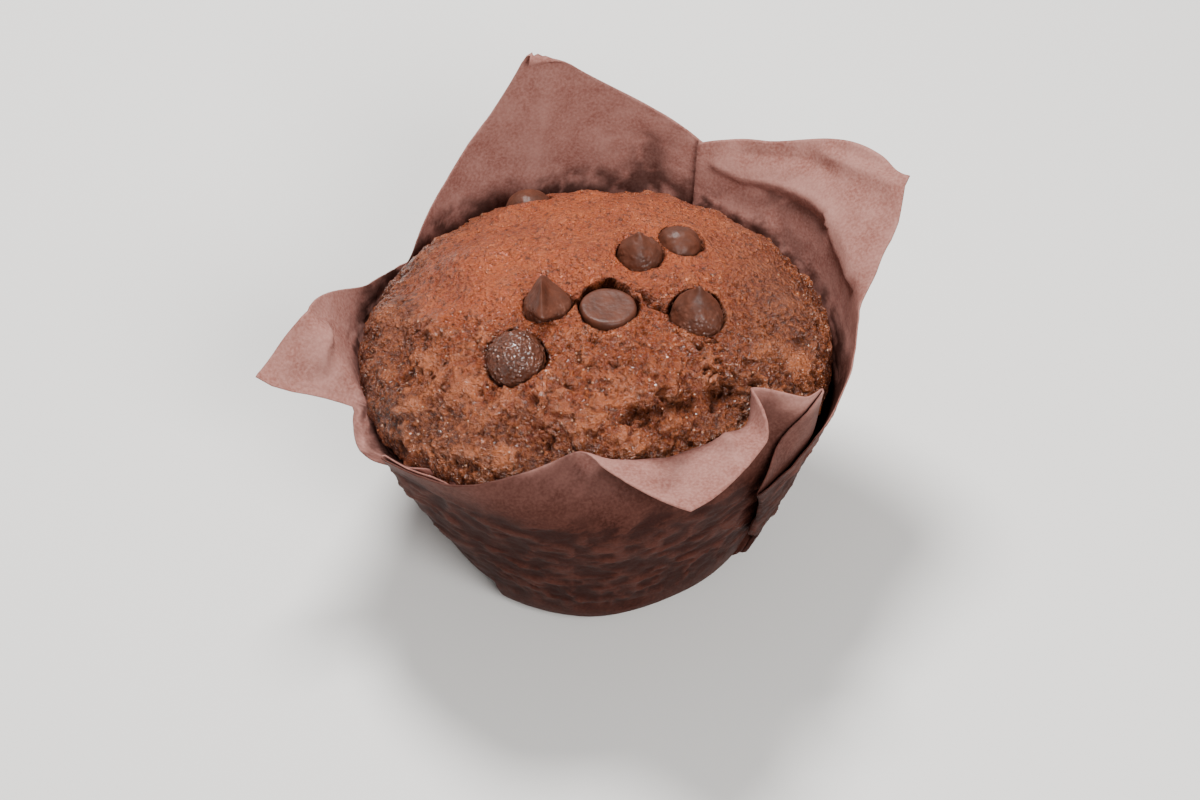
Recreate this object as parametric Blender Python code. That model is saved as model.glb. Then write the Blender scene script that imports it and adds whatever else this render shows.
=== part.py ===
"""A chocolate muffin in a brown tulip paper case, as closed solids.

Metres, +Z up. The origin is the centre of the case's flat bottom. The case is one
square sheet pressed into a cup, with four pleats and four free corners (petals).
"""
import math
import random

import bpy
import numpy as np

MM = 0.001

# Sheet and cup
PAPER_THICKNESS = 0.0004
PLEAT_PITCH = 0.0009        # spacing of the three layers in a pleat
FLAT_RADIUS = 0.0265        # flat bottom of the cup
FOOT_RADIUS = 0.005         # bend between bottom and wall
WALL_LEAN = math.radians(17.5)
RIM_HEIGHT = 0.040          # where the wall stops being pressed and the petals begin
SHEET_TURN = math.radians(12)

# One entry for each petal, anticlockwise from the right. Azimuths in degrees at the rim and
# at the tip. corner: distance of the sheet's corner from the cup's centre along its diagonal.
# edges: where the cut edges on its two sides would reach the next diagonals. floors: how near
# they may come to the centre. Each fold: distance along the diagonal, slant, angle (outwards
# positive), radius, bow of its line, and where along the line it fades and over what length.
PETALS = [
    {"rim": 22, "tip": 18, "corner": 0.1055, "edges": (0.100, 0.117),
     "floors": (0.0735, 0.0735), "folds": [(0.085, 4, 38, 0.0035, 0.45, -0.008, 0.030)]},
    {"rim": 95, "tip": 108, "corner": 0.1025, "edges": (0.103, 0.084),
     "floors": (0.0735, 0.0685), "folds": []},
    {"rim": 193, "tip": 202, "corner": 0.0935, "edges": (0.094, 0.026),
     "floors": (0.0685, 0.0745), "folds": [(0.0785, 44, 66, 0.004, 0.0, 0.006, 0.018)]},
    {"rim": 279, "tip": 290, "corner": 0.1000, "edges": (0.120, 0.165),
     "floors": (0.0735, 0.0735),
     "folds": [(0.068, 6, -46, 0.014, 0.0, 0.018, 0.012),
               (0.082, 8, 122, 0.0036, 0.0, 0.0165, 0.006)]},
]
BOW_LENGTH = 0.004          # how sharply a bowed fold line turns
BOW_CHORD = 0.014

# The pleat after each petal: how far its overlap reaches to each side, as a share of the
# even pleat, and how far its outer crease springs off the wall at the rim
PLEATS = [
    {"ahead": 0.3, "behind": 1.0, "spring": 0.0},
    {"ahead": 1.0, "behind": 1.0, "spring": 0.0},
    {"ahead": 0.8, "behind": 1.1, "spring": 0.0035},
    {"ahead": -0.3, "behind": 1.85, "spring": 0.001},
]
PLEAT_START = 0.0012        # half width left flat at the bottom, where a pleat starts
PLEAT_TURN = 0.004          # above the foot, where a pleat's layers begin to overlap
PLEAT_RISE = 0.013          # length over which it grows to its full overlap
SPRING_WIDTH = 0.018

# Lean of the paper above the rim: azimuth, lean outwards, spread, all in degrees
RIM_LEANS = [(20, 10, 16), (58, 28, 14), (104, 8, 18), (150, 10, 16), (193, 34, 16),
             (222, 32, 12), (255, 2, 14), (285, 10, 16), (325, 6, 12), (0, 8, 12)]
LEAN_BLEND = 0.008

# Mesh of the sheet
PANEL_COLUMNS = 17
PLEAT_COLUMNS = 6
FOOT_ROWS = 3
WALL_STOPS = (PLEAT_TURN, 0.0075, 0.013, 0.022)     # rows up the wall, above the foot
PETAL_ROWS = 11
WALL_END = 0.066            # sheet distance where the rows get finer

# Cake
CAKE_GAP = 0.0004           # clear of the paper's inner face
CAKE_COLUMNS = 64
CAKE_TOP = 0.0595
SHOULDER_RADIUS = 0.0426
SHOULDER_HEIGHT = 0.0405
DOME_POWER = 0.588
BACK_AZIMUTH = 98           # the dome is lower and narrower at the back
BACK_SPREAD = 44
BACK_RADIUS_LOSS = 0.0033
BACK_HEIGHT_LOSS = 0.0025
FRONT_AZIMUTH = 285         # and pressed in a little under the front petal
FRONT_SPREAD = 40
FRONT_RADIUS_LOSS = 0.0014
CRAG_HEIGHT = 0.0005
CRAG_WAVES = 14
CRAG_LENGTHS = (0.010, 0.022)
CRAG_ROWS = 3               # rows over which the relief fades in from the shoulder
CAKE_FOOT = (0.4, 0.75, 1.0)
CAKE_WALL_ROWS = 7
CAKE_TOP_ROWS = 13
SHOULDER_DROP = 0.004       # below the shoulder, where the cake leaves the paper
SHOULDER_SWELL = 0.0002
SEED = 7

# Chocolate chips: kind, then millimetres for distance from the axis, width, height and depth
# in the crust, then degrees for azimuth, tilt and the azimuth it tilts to
CHIPS = [
    ("round", 22.6, 10.8, 7.6, 3.8, 230, 8, 230),
    ("drop", 11.2, 8.8, 9.4, 3.6, 218, 8, 60),
    ("disc", 7.6, 10.6, 6.0, 6.0, 284, 8, 90),
    ("drop", 19.0, 9.6, 9.6, 3.8, 337, 14, 130),
    ("drop", 9.9, 8.4, 8.0, 3.4, 40, 8, 150),
    ("round", 18.6, 8.2, 5.2, 2.8, 36, 6, 40),
    ("round", 31.8, 9.6, 7.4, 5.0, 115, 6, 110),
]
# Each kind's outline from the bottom to the top, as shares of half the width and of the height
CHIP_OUTLINES = {
    "disc": [(0.30, 0.00), (0.62, 0.10), (0.84, 0.32), (0.97, 0.62), (1.00, 0.84), (0.95, 0.97),
             (0.60, 1.00)],
    "drop": [(0.60, 0.00), (0.93, 0.07), (1.00, 0.22), (0.95, 0.42), (0.77, 0.60), (0.44, 0.76),
             (0.16, 0.91)],
    "round": [(0.60, 0.00), (0.93, 0.08), (1.00, 0.28), (0.94, 0.54), (0.76, 0.77), (0.46, 0.93),
              (0.20, 0.99)],
}
CHIP_CLEARANCE = 0.0004
CHIP_SEGMENTS = 12
SLOPE_STEP = 0.0005

FOOT_LENGTH = FOOT_RADIUS * (math.pi / 2 - WALL_LEAN)
FOOT_END = FLAT_RADIUS + FOOT_LENGTH
FOOT_TOP_RADIUS = FLAT_RADIUS + FOOT_RADIUS * math.cos(WALL_LEAN)
FOOT_TOP_HEIGHT = FOOT_RADIUS * (1 - math.sin(WALL_LEAN))
RIM_DISTANCE = FOOT_END + (RIM_HEIGHT - FOOT_TOP_HEIGHT) / math.cos(WALL_LEAN)


def smooth(x):
    """Ease from 0 to 1."""
    x = np.clip(x, 0, 1)
    return x * x * (3 - 2 * x)


def clear_scene():
    for obj in list(bpy.data.objects):
        bpy.data.objects.remove(obj, do_unlink=True)


def principled(name, color, roughness):
    mat = bpy.data.materials.new(name)
    mat.use_nodes = True
    shader = mat.node_tree.nodes["Principled BSDF"]
    shader.inputs["Base Color"].default_value = (*color, 1)
    shader.inputs["Roughness"].default_value = roughness
    shader.inputs["Metallic"].default_value = 0
    return mat


def mesh_object(name, verts, faces, material):
    mesh = bpy.data.meshes.new(name)
    mesh.from_pydata([tuple(map(float, v)) for v in verts], [], faces)
    mesh.validate()
    mesh.materials.append(material)
    mesh.shade_smooth()
    obj = bpy.data.objects.new(name, mesh)
    bpy.context.scene.collection.objects.link(obj)
    return obj


# The cup: sheet distance from the centre, and azimuth, to a point

def cup_profile(dist, lean):
    """Radius and height of the sheet at a distance from its centre."""
    bend = np.clip((dist - FLAT_RADIUS) / FOOT_RADIUS, 0, math.pi / 2 - WALL_LEAN)
    wall = np.clip(dist - FOOT_END, 0, RIM_DISTANCE - FOOT_END)
    past = np.maximum(dist - RIM_DISTANCE, 0)
    near = past / LEAN_BLEND / 2
    far = 1 - LEAN_BLEND / 2 / np.maximum(past, LEAN_BLEND)
    share = np.where(past < LEAN_BLEND, near, far)
    angle = WALL_LEAN + (lean - WALL_LEAN) * share
    radius = np.minimum(dist, FLAT_RADIUS) + FOOT_RADIUS * np.sin(bend)
    height = FOOT_RADIUS * (1 - np.cos(bend))
    radius = radius + wall * math.sin(WALL_LEAN) + past * np.sin(angle)
    height = height + wall * math.cos(WALL_LEAN) + past * np.cos(angle)
    return radius, height


def rim_lean(azimuth):
    """Lean above the rim at an azimuth, in radians."""
    total = 0
    weight = 0
    for where, lean, spread in RIM_LEANS:
        away = (np.degrees(azimuth) - where + 180) % 360 - 180
        w = np.exp(-0.5 * (away / spread) ** 2) + 1e-9
        total = total + w * lean
        weight = weight + w
    return np.radians(total / weight)


def diagonal_azimuth(k, dist):
    """Azimuth of petal k's diagonal at a sheet distance."""
    petal = PETALS[k]
    flat = SHEET_TURN + k * math.pi / 2
    rim = math.radians(petal["rim"])
    tip = math.radians(petal["tip"])
    up = smooth((dist - FLAT_RADIUS) / (RIM_DISTANCE - FLAT_RADIUS))
    past = np.maximum(dist - RIM_DISTANCE, 0) / (petal["corner"] - RIM_DISTANCE)
    return flat + (rim - flat) * up + (tip - rim) * past


def petal_reach(k, angle):
    """Distance to the cut edge at a sheet angle from petal k's diagonal."""
    petal = PETALS[k]
    before, after = petal["edges"]
    side = np.where(angle > 0, after, before)
    reach = 1 / (np.sin(np.abs(angle)) / side + np.cos(angle) / petal["corner"])
    return np.maximum(reach, np.where(angle > 0, *petal["floors"][::-1]))


def unfolded(k, x, y, lift):
    """Petal k before it is folded: x across and y along its diagonal, lift off the wall."""
    dist = np.hypot(x, y)
    angle = np.arctan2(x, y)
    straight, _ = cup_profile(dist, WALL_LEAN)
    azimuth = diagonal_azimuth(k, dist) + angle * dist / np.maximum(straight, 1e-6)
    radius, height = cup_profile(dist, rim_lean(azimuth))
    up = smooth((dist - FLAT_RADIUS) / FOOT_LENGTH)
    radius = radius + lift * math.cos(WALL_LEAN) * up
    height = height - lift * math.sin(WALL_LEAN) * up
    return np.stack([radius * np.cos(azimuth), radius * np.sin(azimuth), height], -1)


def unit(v):
    return v / np.linalg.norm(v, axis=-1, keepdims=True)


def folded(k, x, y, lift, level=None):
    """Petal k with its first folds, up to level, or all of them."""
    folds = PETALS[k]["folds"]
    level = len(folds) if level is None else level
    if level == 0:
        return unfolded(k, x, y, lift)
    where, slant, turn, radius, bow, fade_start, fade_length = folds[level - 1]
    c = math.cos(math.radians(slant))
    s = math.sin(math.radians(slant))

    def line(along):
        return -bow * (np.sqrt(along ** 2 + BOW_LENGTH ** 2) - BOW_LENGTH)

    def at(along, across, lifted):
        q = across + line(along)
        return folded(k, along * c + q * s, where - along * s + q * c, lifted, level - 1)

    along = x * c - (y - where) * s
    across = (y - where) * c + x * s - line(along)
    points = folded(k, x, y, lift, level - 1)
    past = across > 0
    if not past.any():
        return points
    along = along[past]
    across = across[past]
    lifted = lift[past]
    zero = np.zeros_like(across)
    step = 0.0005
    foot = at(along, zero, lifted)
    chord = np.full_like(along, BOW_CHORD) if bow else step
    middle = zero if bow else along
    axis = unit(at(middle + chord, zero, zero) - at(middle - chord, zero, zero))
    outward = unit(np.cross(axis, foot - at(along, zero - step, lifted)))
    ahead = np.cross(outward, axis)
    rest = points[past] - foot
    r_axis, r_ahead, r_out = (np.sum(rest * v, -1) for v in (axis, ahead, outward))
    full = math.radians(abs(turn)) * (1 - smooth((along - fade_start) / fade_length)) + 1e-6
    way = math.copysign(1, turn)
    used = np.minimum(across, radius * full)
    th = used / radius
    new_ahead = radius * np.sin(th) + np.cos(th) * (r_ahead - used) - way * np.sin(th) * r_out
    new_out = way * radius * (1 - np.cos(th)) + way * np.sin(th) * (r_ahead - used) + np.cos(th) * r_out
    points = points.copy()
    points[past] = foot + axis * r_axis[:, None] + ahead * new_ahead[:, None] + outward * new_out[:, None]
    return points


# The pleats between the petals

def span_after(k, dist):
    """Azimuth from petal k's diagonal to the next one's."""
    turn = 2 * math.pi if k == 3 else 0
    return diagonal_azimuth((k + 1) % 4, dist) + turn - diagonal_azimuth(k, dist)


def overlap(k, dist):
    """Half width of an even pleat that takes up the sheet's spare length."""
    radius, _ = cup_profile(dist, WALL_LEAN)
    full = (math.pi / 2 * dist - span_after(k, dist) * radius) / 4
    grown = smooth((dist - FOOT_END - PLEAT_TURN) / PLEAT_RISE)
    below = smooth((FOOT_END + PLEAT_TURN - dist) / (FOOT_LENGTH + PLEAT_TURN))
    return radius, full * grown - PLEAT_START * below, grown


def pleat_side(k, dist, side):
    """Distance along the wall from the pleat's middle line to one of its creases."""
    _, half, grown = overlap(k, dist)
    share = PLEATS[k]["ahead" if side > 0 else "behind"]
    return side * half * (1 + (share - 1) * grown)


def pleat_angle(k, dist, side, from_next):
    """Sheet angle of a crease, seen from petal k or from the next one."""
    radius, _, _ = overlap(k, dist)
    middle = span_after(k, dist) / 2
    arc = pleat_side(k, dist, side) / radius
    return ((arc - middle) if from_next else (middle + arc)) * radius / dist


def layer_pitch(dist):
    return PLEAT_PITCH * smooth((dist - FLAT_RADIUS - 0.001) / FOOT_LENGTH)


def spring(k, dist, away):
    """How far the pleat's outer crease stands off, at a distance along the wall from it."""
    up = smooth((dist - FOOT_END - 0.006) / 0.030)
    return PLEATS[k]["spring"] * up * (1 - np.clip(away / SPRING_WIDTH, 0, 1)) ** 2


def panel_angle(k, g, dist):
    """Sheet angle from first crease (g = -1) through the diagonal (0) to the last crease (1)."""
    if g < 0:
        return -g * pleat_angle((k - 1) % 4, dist, -1, True)
    return g * pleat_angle(k, dist, 1, False)


def panel_column(k, g, dist):
    """Petal k's sheet along one column."""
    angle = panel_angle(k, g, dist)
    start = pleat_angle((k - 1) % 4, dist, -1, True)
    end = pleat_angle(k, dist, 1, False)
    share = (angle - start) / (end - start)
    lift = 2 * layer_pitch(dist) * (1 - smooth((share - 0.3) / 0.4))
    lift = lift + spring((k - 1) % 4, dist, (angle - start) * dist)
    return folded(k, dist * np.sin(angle), dist * np.cos(angle), lift)


def pleat_column(k, n, dist):
    """Column n of the pleat after petal k, back from its inner crease to its outer one."""
    radius, _, _ = overlap(k, dist)
    near = pleat_side(k, dist, 1)
    far = pleat_side(k, dist, -1)
    last = PLEAT_COLUMNS + 1
    f = (n - 1) / (PLEAT_COLUMNS - 1)
    pressed = layer_pitch(dist) / PLEAT_PITCH
    bulge = PLEAT_PITCH / 2 * smooth((near - far) / PLEAT_PITCH)
    if n == 0:
        shaped, rise = near + bulge, 0.5
    elif n == last:
        shaped, rise = far - bulge, 1.5
    else:
        shaped, rise = near + (far - near) * f, 0.85 + 0.3 * f
    level = near + (far - near) * (n + 1) / (last + 2)
    along = level + (shaped - level) * pressed
    lift = layer_pitch(dist) * rise + spring(k, dist, np.maximum(along - far, 0))
    middle = span_after(k, dist) / 2
    here = (middle + along / radius) * radius / dist
    there = (along / radius - middle) * radius / dist
    blend = smooth(f)
    first = folded(k, dist * np.sin(here), dist * np.cos(here), lift)
    second = folded((k + 1) % 4, dist * np.sin(there), dist * np.cos(there), lift)
    return first * (1 - blend) + second * blend


def row_distances(reach):
    """Sheet distances of one column's rows, from the flat bottom's edge to the cut edge."""
    foot = np.linspace(FLAT_RADIUS, FOOT_END, FOOT_ROWS + 1)
    wall = [FOOT_END + stop for stop in WALL_STOPS] + [WALL_END]
    petal = np.linspace(WALL_END, reach, PETAL_ROWS + 1)[1:]
    return np.concatenate([foot, wall, petal])


def panel_reach(k, g):
    """Distance at which a panel's column meets the cut edge."""
    reach = np.array(0.08)
    for _ in range(20):
        reach = petal_reach(k, panel_angle(k, g, reach))
    return float(reach)


def sheet_columns():
    """All columns of points, anticlockwise round the cup."""
    columns = []
    for k in range(4):
        for g in np.linspace(-1, 1, PANEL_COLUMNS):
            columns.append(panel_column(k, g, row_distances(panel_reach(k, g))))
        inner = panel_reach(k, 1)
        outer = panel_reach((k + 1) % 4, -1)
        for n in range(PLEAT_COLUMNS + 2):
            share = min(max((n - 1) / (PLEAT_COLUMNS - 1), 0), 1)
            columns.append(pleat_column(k, n, row_distances(inner + (outer - inner) * share)))
    return columns


def build_paper():
    columns = sheet_columns()
    rows = len(columns[0])
    count = len(columns)
    verts = [(0, 0, 0)]
    faces = []
    for column in columns:
        verts.extend(column)
    for i in range(count):
        a = 1 + i * rows
        b = 1 + (i + 1) % count * rows
        faces.append((0, b, a))
        for j in range(rows - 1):
            faces.append((a + j, b + j, b + j + 1, a + j + 1))
    paper = mesh_object("paper_case", verts, faces, principled("brown_paper", (0.115, 0.058, 0.045), 0.62))
    paper.location.z = PAPER_THICKNESS / 2
    solid = paper.modifiers.new("thickness", "SOLIDIFY")
    solid.thickness = PAPER_THICKNESS
    solid.offset = 0
    solid.use_rim = True
    return paper


# The cake

def near_azimuth(azimuth, centre, spread):
    away = (np.degrees(azimuth) - centre + 180) % 360 - 180
    return np.exp(-0.5 * (away / spread) ** 2)


def crags():
    """Slow random waves over the crust, with a fixed seed."""
    rng = random.Random(SEED)
    waves = []
    for _ in range(CRAG_WAVES):
        turn = rng.uniform(0, 2 * math.pi)
        length = rng.uniform(*CRAG_LENGTHS)
        waves.append((math.cos(turn) / length, math.sin(turn) / length, rng.uniform(0, 2 * math.pi)))
    return waves


def crag_height(waves, x, y):
    total = sum(math.sin(2 * math.pi * (a * x + b * y) + c) for a, b, c in waves)
    return CRAG_HEIGHT * total / math.sqrt(CRAG_WAVES / 2)


def shoulder(azimuth):
    """Radius and height of the cake's widest line."""
    back = near_azimuth(azimuth, BACK_AZIMUTH, BACK_SPREAD)
    front = near_azimuth(azimuth, FRONT_AZIMUTH, FRONT_SPREAD)
    radius = SHOULDER_RADIUS - BACK_RADIUS_LOSS * back - FRONT_RADIUS_LOSS * front
    height = SHOULDER_HEIGHT - BACK_HEIGHT_LOSS * back
    return radius, height


def dome_height(azimuth, share):
    """Height of the crust at a share of the way from the axis to the shoulder."""
    _, low = shoulder(azimuth)
    return low + (CAKE_TOP - low) * np.maximum(1 - share ** 2, 0) ** DOME_POWER


def crust_height(rho, azimuth):
    """Height of the smooth crust over a place."""
    radius, _ = shoulder(azimuth)
    return float(dome_height(azimuth, rho / radius))


def cake_profile(azimuth):
    """Radius and height pairs from the bottom to near the axis, and where the crust starts."""
    floor = PAPER_THICKNESS + CAKE_GAP
    inset = PAPER_THICKNESS / 2 + CAKE_GAP
    foot_z = FOOT_TOP_HEIGHT + PAPER_THICKNESS / 2
    wide, low = shoulder(azimuth)
    profile = [(FLAT_RADIUS / 2, floor), (FLAT_RADIUS, floor)]
    for t in CAKE_FOOT:
        bend = t * (math.pi / 2 - WALL_LEAN)
        rise = (1 - math.cos(bend)) / (1 - math.sin(WALL_LEAN))
        radius = FLAT_RADIUS + (FOOT_RADIUS - inset) * math.sin(bend)
        profile.append((radius, floor + (foot_z - floor) * rise))
    for t in np.linspace(0, 1, CAKE_WALL_ROWS + 1)[1:]:
        z = foot_z + (low - SHOULDER_DROP - foot_z) * t
        wall = FOOT_TOP_RADIUS + (z - foot_z) * math.tan(WALL_LEAN) - inset / math.cos(WALL_LEAN)
        profile.append((min(wall, wide), z))
    profile.append(((profile[-1][0] + wide) / 2 + SHOULDER_SWELL, low - SHOULDER_DROP * 0.45))
    below = len(profile)
    for t in np.linspace(1, 0, CAKE_TOP_ROWS + 1)[:-1]:
        share = math.sin(t * math.pi / 2)
        profile.append((wide * share, float(dome_height(azimuth, share))))
    return profile, below


def build_cake(waves):
    verts = [(0, 0, PAPER_THICKNESS + CAKE_GAP)]
    for i in range(CAKE_COLUMNS):
        azimuth = 2 * math.pi * i / CAKE_COLUMNS
        profile, below = cake_profile(azimuth)
        for n, (r, z) in enumerate(profile):
            x = r * math.cos(azimuth)
            y = r * math.sin(azimuth)
            crust = min(max(n - below, 0) / CRAG_ROWS, 1)
            verts.append((x, y, z + crag_height(waves, x, y) * crust))
    rows = len(profile)
    top = len(verts)
    verts.append((0, 0, CAKE_TOP + crag_height(waves, 0, 0)))
    faces = []
    for i in range(CAKE_COLUMNS):
        a = 1 + i * rows
        b = 1 + (i + 1) % CAKE_COLUMNS * rows
        faces.append((0, b, a))
        for j in range(rows - 1):
            faces.append((a + j, b + j, b + j + 1, a + j + 1))
        faces.append((a + rows - 1, b + rows - 1, top))
    return mesh_object("cake", verts, faces, principled("chocolate_crumb", (0.105, 0.032, 0.014), 0.6))


# The chocolate chips

def chip_mesh(name, spec, grow, material):
    """A chip as a turned shape; grow makes the larger copy that cuts its hollow."""
    kind, _, width, height, *_ = spec
    half = width * MM / 2
    tall = height * MM
    outline = CHIP_OUTLINES[kind]
    verts = [(0, 0, -grow)]
    faces = []
    for share, level in outline:
        r = share * half + grow
        up = level * tall + grow * (2 * level - 1)
        for i in range(CHIP_SEGMENTS):
            turn = 2 * math.pi * i / CHIP_SEGMENTS
            verts.append((r * math.cos(turn), r * math.sin(turn), up))
    verts.append((0, 0, tall + grow))
    top = len(verts) - 1
    last = 1 + (len(outline) - 1) * CHIP_SEGMENTS
    for i in range(CHIP_SEGMENTS):
        j = (i + 1) % CHIP_SEGMENTS
        faces.append((0, 1 + j, 1 + i))
        for n in range(len(outline) - 1):
            a = 1 + n * CHIP_SEGMENTS
            b = a + CHIP_SEGMENTS
            faces.append((a + i, a + j, b + j, b + i))
        faces.append((last + i, last + j, top))
    return mesh_object(name, verts, faces, material)


def place_chip(obj, spec):
    """Stand a chip on the crust's slope with its own tilt, sunk to its depth."""
    _, rho, _, _, depth, azimuth, tilt, to = spec
    rho = rho * MM
    azimuth = math.radians(azimuth)
    tilt = math.radians(tilt)
    to = math.radians(to)
    rise = crust_height(rho - SLOPE_STEP, azimuth) - crust_height(rho + SLOPE_STEP, azimuth)
    slope = math.atan(rise / (2 * SLOPE_STEP))
    lean_x = slope * math.cos(azimuth) + tilt * math.cos(to)
    lean_y = slope * math.sin(azimuth) + tilt * math.sin(to)
    lean = math.hypot(lean_x, lean_y)
    way = math.atan2(lean_y, lean_x)
    up = (math.sin(lean) * math.cos(way), math.sin(lean) * math.sin(way), math.cos(lean))
    place = (rho * math.cos(azimuth), rho * math.sin(azimuth), crust_height(rho, azimuth))
    obj.rotation_mode = "AXIS_ANGLE"
    obj.rotation_axis_angle = (lean, -math.sin(way), math.cos(way), 0)
    obj.location = [p - u * depth * MM for p, u in zip(place, up)]


def build_chips(cake):
    chocolate = principled("chocolate_chip", (0.040, 0.016, 0.011), 0.32)
    for n, spec in enumerate(CHIPS, 1):
        chip = chip_mesh(f"chip_{n}", spec, 0, chocolate)
        place_chip(chip, spec)
        cutter = chip_mesh(f"chip_hollow_{n}", spec, CHIP_CLEARANCE, chocolate)
        place_chip(cutter, spec)
        cutter.hide_render = True
        cutter.display_type = "WIRE"
        cut = cake.modifiers.new(f"hollow_{n}", "BOOLEAN")
        cut.operation = "DIFFERENCE"
        cut.solver = "EXACT"
        cut.object = cutter


def main():
    clear_scene()
    build_paper()
    cake = build_cake(crags())
    build_chips(cake)


main()
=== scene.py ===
import math
import random
from functools import partial

import bpy
import numpy as np
from mathutils import Matrix, Vector


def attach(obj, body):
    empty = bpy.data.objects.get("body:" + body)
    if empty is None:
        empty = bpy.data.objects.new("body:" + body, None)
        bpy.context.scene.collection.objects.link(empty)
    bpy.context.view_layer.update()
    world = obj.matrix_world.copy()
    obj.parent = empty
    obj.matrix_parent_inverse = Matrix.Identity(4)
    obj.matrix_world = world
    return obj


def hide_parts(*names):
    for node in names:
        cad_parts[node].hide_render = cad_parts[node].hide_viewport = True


print("muffin: loading the frame")
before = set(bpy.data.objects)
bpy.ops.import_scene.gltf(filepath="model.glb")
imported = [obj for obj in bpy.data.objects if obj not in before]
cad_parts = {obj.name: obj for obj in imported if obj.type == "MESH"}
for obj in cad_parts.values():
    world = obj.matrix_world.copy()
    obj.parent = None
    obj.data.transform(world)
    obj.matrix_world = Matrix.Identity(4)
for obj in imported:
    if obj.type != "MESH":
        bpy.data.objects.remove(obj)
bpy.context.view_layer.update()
mm = 0.001


# noise that is the same on every run

hashFactors = (374761393, 668265263, 1274126177, 974711, 1103515245)  # large numbers that mix well
hashBits = 0xFFFFFFFF
hashTop = 0x7FFFFF
layerShift = 0.37  # keeps the layers of one noise from lining up


def latticeValue(ix, iy, iz, seed):
    # a value from -1 to 1 for each whole-numbered place
    a, b, c, d, scramble = hashFactors
    h = (ix * a + iy * b + iz * c + seed * d) & hashBits
    h = ((h ^ (h >> 13)) * scramble) & hashBits
    h = ((h ^ (h >> 16)) * scramble) & hashBits
    return ((h >> 4) & (2 * hashTop + 1)) / hashTop - 1


def softNoise(points, size, seed):
    p = points / size
    cell = np.floor(p).astype(np.int64)
    f = p - cell
    f = f * f * f * (f * (f * 6 - 15) + 10)
    total = 0
    for dx in (0, 1):
        for dy in (0, 1):
            for dz in (0, 1):
                weight = (f[..., 0] if dx else 1 - f[..., 0]) * (f[..., 1] if dy else 1 - f[..., 1])
                weight = weight * (f[..., 2] if dz else 1 - f[..., 2])
                corner = latticeValue(cell[..., 0] + dx, cell[..., 1] + dy, cell[..., 2] + dz, seed)
                total = total + weight * corner
    return total


def layeredNoise(points, size, seed, layers=3, fall=0.5):
    total = 0
    for n in range(layers):
        moved = points + n * layerShift
        total = total + softNoise(moved, size * 0.5 ** n, seed + n) * fall ** n
    return total


def pitField(points, size, seed, small=0.25, large=0.55, share=1.0):
    # 1 at the middle of a scattered pit, 0 outside all of them
    p = points / size
    cell = np.floor(p).astype(np.int64)
    best = np.zeros(points.shape[:-1])
    for dx in (-1, 0, 1):
        for dy in (-1, 0, 1):
            for dz in (-1, 0, 1):
                c = (cell[..., 0] + dx, cell[..., 1] + dy, cell[..., 2] + dz)
                away = 0
                for axis in range(3):
                    centre = c[axis] + 0.5 + 0.5 * latticeValue(*c, seed + axis)
                    away = away + (p[..., axis] - centre) ** 2
                pick = latticeValue(*c, seed + 7) * 0.5 + 0.5
                radius = small + (large - small) * pick
                depth = np.clip(1 - np.sqrt(away) / radius, 0, 1)
                kept = latticeValue(*c, seed + 11) * 0.5 + 0.5 < share
                best = np.maximum(best, depth * kept)
    return best


def ease(x):
    x = np.clip(x, 0, 1)
    return x * x * (3 - 2 * x)


def unit(v):
    return v / np.maximum(np.linalg.norm(v, axis=-1, keepdims=True), 1e-12)


def place(name, data):
    thing = bpy.data.objects.new(name, data)
    bpy.context.scene.collection.objects.link(thing)
    return thing


def meshPiece(name, points, faces, material, standsFor, attributes):
    mesh = bpy.data.meshes.new(name)
    mesh.from_pydata([tuple(map(float, p)) for p in points], [], faces)
    mesh.materials.append(material)
    mesh.shade_smooth()
    for label, values in attributes.items():
        layer = mesh.attributes.new(label, "FLOAT", "POINT")
        layer.data.foreach_set("value", np.asarray(values, dtype=np.float32))
    piece = place(name, mesh)
    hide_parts(standsFor)
    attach(piece, "root")
    return piece


# materials

def nodeTree(name):
    material = bpy.data.materials.new(name)
    material.use_nodes = True
    return material, material.node_tree, material.node_tree.nodes["Principled BSDF"]


def feed(tree, socket, value):
    if isinstance(value, bpy.types.NodeSocket):
        tree.links.new(value, socket)
    else:
        socket.default_value = value


def node(tree, kind, inputs, **settings):
    # a node with its settings and what goes into its sockets
    placed = tree.nodes.new(kind)
    for label, value in settings.items():
        setattr(placed, label, value)
    for socket, value in inputs.items():
        feed(tree, placed.inputs[socket], value)
    return placed.outputs


def speckleGroup():
    # noise in object space, stretched between two levels, as a mask
    tree = bpy.data.node_groups.new("speckle", "ShaderNodeTree")
    for label in speckleInputs:
        tree.interface.new_socket(label, in_out="INPUT", socket_type="NodeSocketFloat")
    tree.interface.new_socket("Mask", in_out="OUTPUT", socket_type="NodeSocketFloat")
    add = partial(node, tree)
    given = add("NodeGroupInput", {})
    where = add("ShaderNodeTexCoord", {})["Object"]
    noise = add("ShaderNodeTexNoise", {"Vector": where, "Scale": given["Scale"], "Detail": given["Detail"]})
    levels = {"Value": noise["Fac"], "From Min": given["Low"], "From Max": given["High"]}
    add("NodeGroupOutput", {"Mask": add("ShaderNodeMapRange", levels)["Result"]})
    return tree


speckleInputs = ("Scale", "Detail", "Low", "High")
speckle = speckleGroup()


def speckleNode(tree, settings):
    # settings: scale per metre, detail, and the two levels
    return node(tree, "ShaderNodeGroup", dict(zip(speckleInputs, settings)), node_tree=speckle)[0]


def mixColour(tree, factor, first, second):
    first, second = ((*c, 1) if isinstance(c, tuple) else c for c in (first, second))
    sockets = {"Factor": factor, "A": first, "B": second}
    return node(tree, "ShaderNodeMix", sockets, data_type="RGBA")["Result"]


def attributeOf(tree, label):
    return node(tree, "ShaderNodeAttribute", {}, attribute_name=label)["Fac"]


def mathNode(tree, way, first, second):
    return node(tree, "ShaderNodeMath", {0: first, 1: second}, operation=way, use_clamp=True)[0]


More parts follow.
